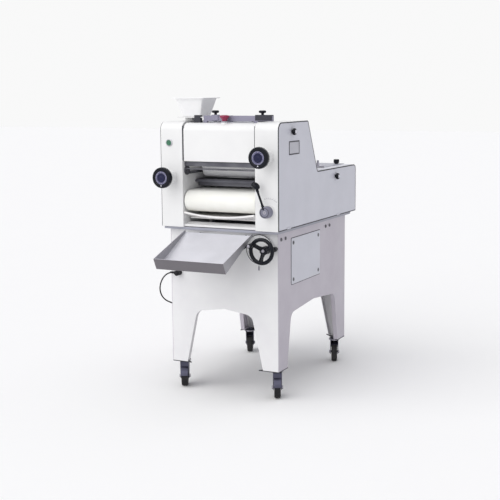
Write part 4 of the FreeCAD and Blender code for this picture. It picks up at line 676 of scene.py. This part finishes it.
def makeLever():
    x, y, z = lever["spot"]
    r, back, rod, b, length, reach = (lever[k] for k in ("hub", "back", "rod", "ball", "length", "scale"))
    body = "tension_lever"
    hub = [(r - 1, 0), (r, 1), (r, 29), (r - 0.8, 33), (r - 2.2, 35), (r - 4, 35.7), (r - 5, 35.7),
           (r - 5, 34.1), (r - 8.4, 34.1), (r - 8.4, 35.5), (9, 35.5), (9, 34.9)]
    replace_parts(turnedPiece("leverHub", hub, (x, back, z), forward, "greyPlastic", body, 72), body)
    # a dark ring laid on the floor of the hub's groove: painted shade in the recess
    groove = [(r - 8.2, 0), (r - 5.2, 0), (r - 5.2, 0.4), (r - 8.2, 0.4), (r - 8.2, 0)]
    turnedPiece("leverHubGrooveShade", groove, (x, back - 34, z), forward, "darkEnamel", body, 72)
    bolt = [(7.6, 0), (7.6, 2.6), (7, 3.2), (3.6, 3.2), (3.6, 0.6)]
    turnedPiece("leverHubBolt", bolt, (x, back - 33.3, z), forward, "zincPlate", body, 48, hexagon=(2, 5))
    lean = math.radians(lever["lean"])
    along = (-math.sin(lean), 0, math.cos(lean))
    shank = [(7.5, 12), (7.5, 33), (6.6, 34.5), (rod, 35), (rod, 96), (rod + 1.8, 100), (rod + 1.8, 110)]
    turnedPiece("leverRod", shank, (x, y, z), along, "glossBlack", body, 32)
    ball = [(5.2, length - 18.2), *arc((0, length), b, -73, 78, 26), (axisRadius, length + b * 0.98)]
    turnedPiece("leverBall", ball, (x, y, z), along, "glossBlack", body, 56)
    spindle = [(8, 0), (8, 30.3), (16, 30.3), (16, 38.3)]
    turnedPiece("leverSpindle", spindle, (x, back, z), backward, "turnedSteel", body, 40)
    longer, shorter = np.arange(50, 112, 10), np.arange(49, 113, 2)
    marks("leverScale", (x, z), 0.0, reach, reach + 5, 0.9, longer, "markGrey", "machine")
    marks("leverScaleLine", (x, z), 0.0, reach - 1.4, reach - 0.6, 2.2, shorter, "markGrey", "machine")


wheel = {"spot": (243, 714), "rimLevel": -46, "rim": 54, "tube": 8.9, "waves": 12, "waveDepth": 0.9,
         "hub": 19.5, "hubLevel": -30, "spokes": 3, "spokeStart": 12, "spokeLength": 38,
         "gripAngle": 145, "gripReach": 49, "gripLength": 45.7, "gripRadius": 10.5}


def makeRim():
    # a ring whose tube swells between finger hollows on its rear side
    x, z = wheel["spot"]
    turn = np.linspace(0, 2 * np.pi, 120, endpoint=False)[:, None]
    around = np.linspace(0, 2 * np.pi, 24, endpoint=False)[None]
    hollow = wheel["waveDepth"] * np.clip(np.sin(around), 0, 1) * (1 - np.cos(wheel["waves"] * turn)) / 2
    tube = wheel["tube"] - hollow
    reach = wheel["rim"] + tube * np.cos(around)
    level = wheel["rimLevel"] + tube * np.sin(around)
    points = np.stack([x + reach * np.cos(turn), level, z + reach * np.sin(turn)], -1)
    faces = gridFaces(turn.size, around.size, True, True)
    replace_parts(addPiece("wheelRim", spots(points), faces, "glossBlack", "handwheel"), "handwheel")


def makeHandwheel():
    x, z = wheel["spot"]
    h, level = wheel["hub"], wheel["hubLevel"]
    makeRim()
    hub = [(h - 4, 0), (h - 1, 1), (h, 4), (h, 44), (h - 1, 47), (h - 1, 48)]
    turnedPiece("wheelHub", hub, (x, level, z), backward, "glossBlack", "handwheel", 56)
    nut = [(8, 0), (8, 4.6), (7, 5.6), (4, 5.6), (4, 4)]
    turnedPiece("wheelNut", nut, (x, level + 0.4, z), forward, "zincPlate", "handwheel", 48, hexagon=(5, 9))
    share = np.linspace(0, 1, 12)
    reach = wheel["spokeStart"] + wheel["spokeLength"] * share
    waist = np.sin(share * np.pi)
    sizes = np.stack([12.5 - 3.0 * waist, 5.2 - 1.0 * waist], -1)
    dish = -24 - 21 * np.sin(share * np.pi / 2)
    for i in range(wheel["spokes"]):
        angle = math.radians(wheel["gripAngle"] + 360 / wheel["spokes"] * i)
        path = np.stack([x + reach * math.cos(angle), dish, z + reach * math.sin(angle)], -1)
        across = (-math.sin(angle), 0, math.cos(angle))
        sweptPiece(f"wheelSpoke{i + 1}", path, across, sizes, "glossBlack", "handwheel")
    shaft = [(9, 0), (9, 417), (28, 417), (14, 431)]
    turnedPiece("wheelShaft", shaft, (x, 18, z), backward, "turnedSteel", "handwheel", 32)
    angle = math.radians(wheel["gripAngle"])
    gx, gz = x + wheel["gripReach"] * math.cos(angle), z + wheel["gripReach"] * math.sin(angle)
    pin = [(4, 0), (4, 52), (7, 52), (7, 54), (5.5, 55.4), (axisRadius, 55.8)]
    turnedPiece("gripPin", pin, (gx, wheel["rimLevel"] - 2, gz), forward, "zincPlate", "handwheel", 32)
    g, length = wheel["gripRadius"], wheel["gripLength"]
    sleeve = [(4.1, 0), (g - 3.4, 0), (g - 2.2, 1.4), (g - 2.6, 5), (g - 1.0, 14), (g, 26), (g - 0.3, 36),
              (g - 2, 43), (g - 4, length), (4.1, length), (4.1, 0)]
    front = (gx, wheel["rimLevel"] - wheel["tube"] - 0.3, gz)
    grip = turnedPiece("gripSleeve", sleeve, front, forward, "glossBlack", "handwheel_grip", 48)
    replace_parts(grip, "handwheel_grip")


dial = {"spot": (198, 710), "radius": 70, "skin": 42, "face": 29.6, "lock": (276, 716), "lockRadius": 12,
        "pointer": (187, 610)}


def makeDial():
    # the plate lies on the stand's front skin; its face is a little lower than its rim
    x, z = dial["spot"]
    r, skin, face, q = (dial[k] for k in ("radius", "skin", "face", "lockRadius"))
    disc = [(r - 12, 0), (r - 12, 6), (r - 1, 6), (r, 7), (r, 13), (r - 0.8, 14), (r - 3.4, 14),
            (r - 4, 12.4)]
    made = turnedPiece("dialFace", disc, (x, skin, z), forward, "whitePlastic", "machine", 120)
    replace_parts(made, "height_dial")
    rim = [(r - 3.2, 0), (r + 0.1, 0), (r + 0.1, 0.8), (r - 3.2, 0.8), (r - 3.2, 0)]
    turnedPiece("dialRim", rim, (x, face - 1.4, z), forward, "darkEnamel", "machine", 120)
    shorter, longer = np.arange(0, 360, 6), np.arange(0, 360, 30)
    marks("dialMarks", (x, z), face, r - 10, r - 5, 0.8, shorter, "markGrey", "machine")
    marks("dialLongMarks", (x, z), face, r - 15, r - 5, 1.2, longer, "markGrey", "machine")
    lx, lz = dial["lock"]
    lock = [(q - 4, 0), (q - 4, 8), (q - 1, 9), (q, 11), (q, 31), (q - 1.4, 33.4), (axisRadius, 34)]
    turnedPiece("lockKnob", lock, (lx, skin, lz), forward, "glossBlack", "machine", 96, (16, 1.0, q - 2))
    px, pz = dial["pointer"]
    arrow = np.array([(px - 3, pz), (px + 3, pz), (px + 3, pz + 14), (px, pz + 24), (px - 3, pz + 14)])
    plate("dialPointer", arrow, "y", skin, skin - 4, 0.5, "markGrey", "machine")


buttons = {"start": (-260, 1196), "startFoot": 42, "stop": (22, 27, 1289)}


def makeButtons():
    x, z = buttons["start"]
    start = [(12.9, 0), (12.9, 47), (12, 48.4), (10.2, 49), (9.6, 48.2), (axisRadius, 47.9)]
    cap = (x, buttons["startFoot"], z)
    made = turnedPiece("startCap", start, cap, forward, "greenPlastic", "start_button", 56)
    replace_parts(made, "start_button")
    bezel = [(13.2, 0), (18, 0), (18, 2), (16.6, 4.4), (14, 4.8), (13.2, 4), (13.2, 0)]
    turnedPiece("startBezel", bezel, (x, 0, z), forward, "turnedSteel", "machine", 56)
    stop = [(12, -6), (12, 14), (13, 17), (17, 22.4), (21.4, 26.6), (22.8, 28.6), (23, 30.6), (22.4, 33),
            (20, 35), (14, 36.5), (axisRadius, 37)]
    head = turnedPiece("stopHead", stop, buttons["stop"], upward, "redPlastic", "stop_button", 72)
    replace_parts(head, "stop_button")
    collar = [(12.3, 3), (16.2, 3), (16.2, 7), (15.2, 8.6), (12.3, 8.6), (12.3, 3)]
    turnedPiece("stopCollar", collar, buttons["stop"], upward, "greyPlastic", "machine", 56)


makeGapKnob("lower_gap_knob", -251, 1037)
makeGapKnob("upper_gap_knob", 251, 1140)
makeLever()
makeHandwheel()
makeDial()
makeButtons()
print("controls made")


# covers, plate and screws

head = {"bottom": 799, "top": 1294, "deck": 1046, "depth": 966, "slope": (335, 449),
        "rounds": (38, 14, 14, 28)}

# how far the faces that things are fixed to lie from the middle
faceAt = {"stand": 285.4, "door": 287.4, "box": 304.9, "cover": 307.5}


def sideLine(inset):
    # the head's side outline as (Y, Z), drawn in by an inset
    run, fall = head["slope"][1] - head["slope"][0], head["top"] - head["deck"]
    shift = (math.hypot(run, fall) - run) / fall * inset
    low, top = head["bottom"] + inset, head["top"] - inset
    deck, deep = head["deck"] - inset, head["depth"] - inset
    corners = [(inset, low), (inset, top), (head["slope"][0] - shift, top), (head["slope"][1] - shift, deck),
               (deep, deck), (deep, low)]
    a, b, c, d = head["rounds"]
    return outline(corners, [1, a - inset, b - inset, c + inset, d - inset, 1], 9)


# widths of the side covers' dark edging, partly painted shadow, and of the door's painted shadow strip
sealAndShadow = {"width": 5.4, "proud": 0.5, "doorWidth": 3.2, "door": ((186, 529), (526, 746)), "doorRound": 6}


def makeSealsAndShadows():
    # dark edging round both side covers, partly trim and partly painted shadow of the gap, and a dark strip
    # round the door as painted shadow of its gap
    inner = sealAndShadow["width"] - 1
    for name, sign in (("left", -1), ("right", 1)):
        low, high = sign * faceAt["box"], sign * (faceAt["cover"] + sealAndShadow["proud"])
        section = [(-0.7, low), (-0.7, high - sign * 0.8), (-0.1, high), (inner - 0.4, high),
                   (inner, high - sign * 0.4), (inner, low)]
        edgeStrip(f"{name}CoverEdgingAndShadow", sideLine(1.0), section, "x", "darkEnamel", "machine")
    w, stand = sealAndShadow["doorWidth"], faceAt["stand"]
    section = [(-w, stand), (-w, stand + 0.7), (0.2, stand + 0.9), (0.2, stand)]
    line = rectangle(*sealAndShadow["door"], sealAndShadow["doorRound"])
    # the door strip is painted shadow in the gap round the door
    edgeStrip("doorShadowStrip", line, section, "x", "darkEnamel", "machine")


slit = {"left": (-189.9, -182.1), "right": (187.1, 189.9), "heights": (1113, 1276), "depth": (1.9, 1.1)}
band = {"across": (252, 303), "along": (478, 930), "level": 1046.05, "sheet": 0.6}


def makeGaps():
    # dark sheets in the slits beside the front panel as painted shadow, and grey bands, partly painted shade,
    # along the low part of both boxes
    for name in ("left", "right"):
        line = rectangle(slit[name], slit["heights"], 0.4, 3)
        plate(f"{name}PanelSlitShadow", line, "y", *slit["depth"], 0.15, "darkEnamel", "machine")
    level, top = band["level"], band["level"] + band["sheet"]
    for name, sign in (("left", -1), ("right", 1)):
        line = rectangle([sign * x for x in band["across"]], band["along"], 2, 3)
        plate(f"{name}DeckBand", line, "z", level, top, 0.2, "greyEnamelAndShade", "machine")


dataPlate = {"along": (115, 232), "heights": (1142, 1205), "round": 4, "frame": 5.6, "rivetInset": 6}


def makeDataPlate():
    skin, line = faceAt["cover"], rectangle(dataPlate["along"], dataPlate["heights"], dataPlate["round"], 5)
    plate("dataPlate", line, "x", skin - 0.1, skin + 0.6, 0.2, "rolledSteel", "machine")
    inner = dataPlate["frame"]
    section = [(-0.2, skin - 0.1), (-0.2, skin + 0.8), (0.3, skin + 1.1), (inner - 0.4, skin + 1.1),
               (inner, skin + 0.8), (inner, skin + 0.4)]
    edgeStrip("dataPlateFrame", line, section, "x", "darkEnamel", "machine")
    (y0, y1), (z0, z1), inset = dataPlate["along"], dataPlate["heights"], dataPlate["rivetInset"]
    rivet = [(1.9, 0), (1.7, 0.8), (1.0, 1.3), (axisRadius, 1.5)]
    near, far, low, high = y0 + inset, y1 - inset, z0 + inset, z1 - inset
    for i, (y, z) in enumerate([(near, low), (far, low), (far, high), (near, high)]):
        spot = (skin + 0.5, y, z)
        turnedPiece(f"dataPlateRivet{i + 1}", rivet, spot, (1, 0, 0), "turnedSteel", "machine", 20)


fixings = {"doorScrews": [(208, 548), (507, 548), (507, 724), (208, 724)], "bolts": (74, 122, 606, 656),
           "boltLevel": 755, "coverKnobs": [(151, 1248), (682, 1003)]}


def makeFasteners():
    # door screws, side bolts on washers and the covers' knobs, each knob with a pale cap that is a painted
    # highlight
    screw = [(9.4, 0), (9.4, 0.8), (6.4, 0.9), (6.0, 2.4), (4.4, 3.4), (2.4, 3.5), (2.4, 1.4)]
    bolt = [(9, 0), (9, 0.9), (7.2, 1.0), (7.2, 4.2), (6.2, 5.0)]
    knob = [(5, -2.5), (5, 0.3), (9, 0.5), (9, 5), (14.6, 6), (16, 8), (16, 14), (14.8, 17.4),
            (11.5, 19.4), (7, 20)]
    # a pale cap on each black knob, a painted highlight
    cap = [(9.4, 0), (8.4, 0.7), (axisRadius, 1.2)]
    waves = (12, 0.8, 14.5)
    screws = []
    for i, (y, z) in enumerate(fixings["doorScrews"]):
        spot = (faceAt["door"], y, z)
        screws.append(turnedPiece(f"doorScrew{i + 1}", screw, spot, (1, 0, 0), "boltZinc", "machine", 36,
                                  hexagon=(1.8, 2.6)))
    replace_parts(screws[0], "fasteners")
    for name, sign in (("left", -1), ("right", 1)):
        out = (sign, 0, 0)
        for i, y in enumerate(fixings["bolts"]):
            spot = (sign * faceAt["stand"], y, fixings["boltLevel"])
            turnedPiece(f"{name}Bolt{i + 1}", bolt, spot, out, "boltZinc", "machine", 48, hexagon=(6.1, 7.4))
        for i, (y, z) in enumerate(fixings["coverKnobs"]):
            spot = (sign * faceAt["cover"], y, z)
            turnedPiece(f"{name}CoverKnob{i + 1}", knob, spot, out, "glossBlack", "machine", 96, waves)
            spot = (sign * (faceAt["cover"] + 19.8), y, z)
            turnedPiece(f"{name}CoverKnobHighlight{i + 1}", cap, spot, out, "markWhite", "machine", 40)


cover = {"half": 250, "along": (668, 955), "levels": (1046.3, 1048.3), "hinge": (0, 668, 1051.3),
         "knob": (217, 917)}


def makeRearCover():
    half, (near, far), (low, top) = cover["half"], cover["along"], cover["levels"]
    line = outline([(-half, near), (half, near), (half, far), (-half, far)], [3, 3, 10, 10])
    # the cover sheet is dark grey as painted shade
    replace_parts(plate("rearCoverSheet", line, "z", low, top, 0.5, "deckEnamelPaintedShade", "rear_cover"), "rear_cover")
    knuckles = [(3.8, -half)]
    for start in range(-half, half, 100):
        knuckles += [(5, start + 0.8), (5, start + 98.4), (3.8, start + 99.2), (3.8, start + 100)]
    turnedPiece("rearCoverHinge", knuckles, cover["hinge"], (1, 0, 0), "zincPlate", "rear_cover", 24)
    knob = [(9, 0), (9, 3), (13, 4), (15, 6), (15, 20), (13.6, 23.4), (10, 24)]
    waves = (12, 0.8, 13.8)
    turnedPiece("rearCoverKnob", knob, (*cover["knob"], top), upward, "glossBlack", "rear_cover", 96, waves)


makeSealsAndShadows()
makeGaps()
makeDataPlate()
makeFasteners()
makeRearCover()
print("covers made")


# top: flour box and thumb knobs

flourBox = {"spot": (-200, 160), "low": 1316, "height": 88, "base": 50, "mouth": 73.5, "rim": 86, "wall": 2.5}


def makeFlourBox():
    # a rounded square carried up the outside, over the rim and down the inside;
    # each row is its half width, its level and the radius of its corners
    low, high = flourBox["low"], flourBox["low"] + flourBox["height"]
    base, mouth, rim, wall = (flourBox[k] for k in ("base", "mouth", "rim", "wall"))
    rows = [(0.01, low, 0.004), (base - 3, low, 3), (base - 0.6, low + 1, 4), (base, low + 3.4, 5),
            (mouth - 1.2, high - 5.5, 7), (mouth - 0.4, high - 3.8, 7), (mouth + 1.2, high - 3.2, 7),
            (rim - 0.8, high - 3.2, 5), (rim, high - 2.6, 6), (rim, high - 0.8, 6), (rim - 0.8, high, 5),
            (mouth + 0.6, high, 7), (mouth - wall, high - 1.6, 6), (base - wall, low + 6, 5),
            (base - wall - 3, low + wall, 4), (0.01, low + wall, 0.004)]
    squares = np.stack([rectangle((-half, half), (-half, half), corner, 8) for half, _, corner in rows])
    levels = np.array([level for _, level, _ in rows])
    points = onPlane(squares + np.array(flourBox["spot"]), levels[:, None], "z")
    faces = gridFaces(len(rows), squares.shape[1], False, True)
    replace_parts(addPiece("flourTub", spots(points), faces, "whitePlastic", "flour_box"), "flour_box")


boxFoot = {"across": (-240.7, -199.3), "along": (119.3, 200.7), "heights": (1294.1, 1311.9)}
boxShelf = {"across": (-245.7, -103.3), "along": (56.3, 200.7), "heights": (1311.6, 1315.98)}


def makeFlourFoot():
    # pale sheets wrapped round the foot and the plate under the box
    for name, look in (("flourFoot", boxFoot), ("flourPlate", boxShelf)):
        line = rectangle(look["across"], look["along"], 3, 4)
        plate(name, line, "z", *look["heights"], 0.4, "whiteEnamel", "machine")


thumbKnob = {"across": {"left": -43, "right": 200}, "along": 62, "foot": 1322.3, "head": 1337, "radius": 17.6}


def makeThumbKnobs():
    r, y = thumbKnob["radius"], thumbKnob["along"]
    stem = [(8.6, 0), (8.6, 2.4), (6.4, 3), (6.4, 9), (7.6, 12)]
    star = [(9, -3), (15.5, -1.4), (r, 1), (r, 6), (15.8, 8.4), (11, 9.6)]
    for side, x in thumbKnob["across"].items():
        body = side + "_thumb_knob"
        low, high = (x, y, thumbKnob["foot"]), (x, y, thumbKnob["head"])
        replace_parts(turnedPiece(body + "Stem", stem, low, upward, "glossBlack", body, 40), body)
        turnedPiece(body + "Head", star, high, upward, "glossBlack", body, 90, (5, 4.4, 10))


makeFlourBox()
makeFlourFoot()
makeThumbKnobs()
print("top made")


# casters

caster = {"radius": 50, "half": 15, "trail": 24, "nutAt": 21, "raceTop": 128.6,
          "hoodGap": 6, "hoodSheet": 2.4, "hoodHalf": 18, "hoodEdge": 0.8, "hoodArc": (12, 128)}

# each caster's axis and the way it points, in degrees
casterSpots = {"front_left": (-251.5, 99, 26), "front_right": (251.5, 99, 26),
               "rear_left": (-251.5, 813, 203), "rear_right": (251.5, 813, 203)}


def makeHood(label, hub, across, back):
    # a bent strip of sheet over the wheel: a section of two arcs, carried across and drawn in at its edges
    r, half, edge = caster["radius"], caster["hoodHalf"], caster["hoodEdge"]
    near, (start, end) = r + caster["hoodGap"], caster["hoodArc"]
    section = arc((0, 0), near, start, end, 22) + arc((0, 0), near + caster["hoodSheet"], end, start, 22)
    aside = np.array([-half, edge - half, half - edge, half])[:, None, None]
    drawnIn = 1 - np.array([edge, 0, 0, edge])[:, None, None] / r
    flat = drawnIn * np.array(section)[None]
    points = hub + aside * across + flat[..., :1] * back + flat[..., 1:] * np.array(upward)
    count = len(section)
    faces = gridFaces(len(aside), count, False, True)
    step = np.arange(count // 2 - 1)
    for first in (0, (len(aside) - 1) * count):
        last = first + count - 1
        faces += np.stack([first + step, first + step + 1, last - 1 - step, last - step], 1).tolist()
    addPiece(label + "Hood", spots(points), faces, "forkZinc", label + "_caster_fork")


def makeCaster(label, x, y, angle):
    turn = math.radians(angle)
    across = np.array([math.cos(turn), math.sin(turn), 0])
    back = np.array([math.sin(turn), -math.cos(turn), 0])
    half, r = caster["half"], caster["radius"]
    hub = np.array([x, y, r]) + back * caster["trail"]
    wheelBody, fork = label + "_caster_wheel", label + "_caster_fork"
    tyre = [(r - 15, 1 - half), (r - 13, -half), (r - 4, -half), (r - 1.4, 1.6 - half), (r - 0.3, 5 - half),
            (r, 9 - half)]
    tyre += [(q, -h) for q, h in reversed(tyre)] + tyre[:1]
    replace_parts(turnedPiece(label + "Tyre", tyre, hub, across, "wheelRubber", wheelBody, 96), wheelBody)
    core = [(6.1, 0.6 - half), (13, 0.6 - half), (14, 2.4 - half), (16, 4.4 - half), (31, 4.4 - half),
            (33, 2.2 - half), (r - 15, 1.4 - half), (r - 14.5, 4 - half)]
    core += [(q, -h) for q, h in reversed(core)] + core[:1]
    turnedPiece(label + "Core", core, hub, across, "darkEnamel", wheelBody, 72)
    nut = [(9.5, 0), (9.5, 1), (8.4, 1.2), (8.4, 5), (7.4, 6)]
    for name, side in (("A", -1), ("B", 1)):
        spot, out = hub + across * side * caster["nutAt"], across * side
        turnedPiece(label + "Nut" + name, nut, spot, out, "zincPlate", fork, 48, hexagon=(7, 8.8))
    makeHood(label, hub, across, back)
    race = [(27, 0), (29.4, -1.2), (30.2, -3.4), (29.4, -5.4), (27, -6.6), (26, -9)]
    turnedPiece(label + "Race", race, (x, y, caster["raceTop"]), upward, "zincPlate", fork, 72)


for label, (x, y, angle) in casterSpots.items():
    makeCaster(label, x, y, angle)
print("casters made")


# light and floor

studio = {"floor": (0.965, 0.965, 0.955), "backdrop": 0.945, "ambient": (0.50, 0.50, 0.53), "half": 30.0}

lamps = {
    "keyLamp": {"from": (-0.30, -0.64, 0.70), "angle": 75, "power": 1.76, "tint": (1.0, 0.995, 0.98)},
    "lowLamp": {"from": (-0.05, -0.99, 0.14), "angle": 30, "power": 0.34, "tint": (1.0, 1.0, 1.0)},
    "topLamp": {"from": (0.15, 0.25, 0.95), "angle": 60, "power": 0.28, "tint": (0.97, 0.98, 1.0)},
}


def makeStudio():
    half = studio["half"]
    floorMesh = bpy.data.meshes.new("studioFloor")
    corners = [(-half, -half, 0), (half, -half, 0), (half, half, 0), (-half, half, 0)]
    floorMesh.from_pydata(corners, [], [(0, 1, 2, 3)])
    floor = bpy.data.objects.new("studioFloor", floorMesh)
    bpy.context.scene.collection.objects.link(floor)
    material, tree, shader = startMaterial("floorPaper")
    shader.inputs["Roughness"].default_value = 1.0
    shader.inputs["Specular IOR Level"].default_value = 0.0
    grain = noise(tree, objectSpace(tree), 3, 3)
    pale = studio["floor"]
    tree.links.new(blendColour(tree, grain, pale, [c * 0.99 for c in pale]), shader.inputs["Base Color"])
    floorMesh.materials.append(material)
    world = bpy.data.worlds.new("studioWorld")
    bpy.context.scene.world = world
    world.use_nodes = True
    tree = world.node_tree
    ambient = tree.nodes["Background"]
    ambient.inputs["Color"].default_value = (*studio["ambient"], 1)
    level = studio["backdrop"]
    backdrop = node(tree, "ShaderNodeBackground", in_Color=(level, level, level, 1), in_Strength=1.0)
    path = node(tree, "ShaderNodeLightPath")
    seen = node(tree, "ShaderNodeMath", operation="MAXIMUM")
    tree.links.new(path.outputs["Is Camera Ray"], seen.inputs[0])
    tree.links.new(path.outputs["Is Glossy Ray"], seen.inputs[1])
    mix = node(tree, "ShaderNodeMixShader")
    tree.links.new(seen.outputs[0], mix.inputs[0])
    tree.links.new(ambient.outputs[0], mix.inputs[1])
    tree.links.new(backdrop.outputs[0], mix.inputs[2])
    tree.links.new(mix.outputs[0], tree.nodes["World Output"].inputs["Surface"])


def makeLamps():
    for name, look in lamps.items():
        data = bpy.data.lights.new(name, "SUN")
        data.angle = math.radians(look["angle"])
        data.energy = look["power"]
        data.color = look["tint"]
        lamp = bpy.data.objects.new(name, data)
        bpy.context.scene.collection.objects.link(lamp)
        back = np.array(look["from"]) / np.linalg.norm(look["from"])
        side = np.cross([0, 1.0, 0], back)
        side = side / np.linalg.norm(side)
        matrix = np.eye(4)
        matrix[:3, 0], matrix[:3, 1], matrix[:3, 2] = side, np.cross(back, side), back
        lamp.matrix_world = Matrix(matrix.tolist())


makeStudio()
makeLamps()
bpy.context.scene.view_settings.view_transform = "Standard"
print("studio set")
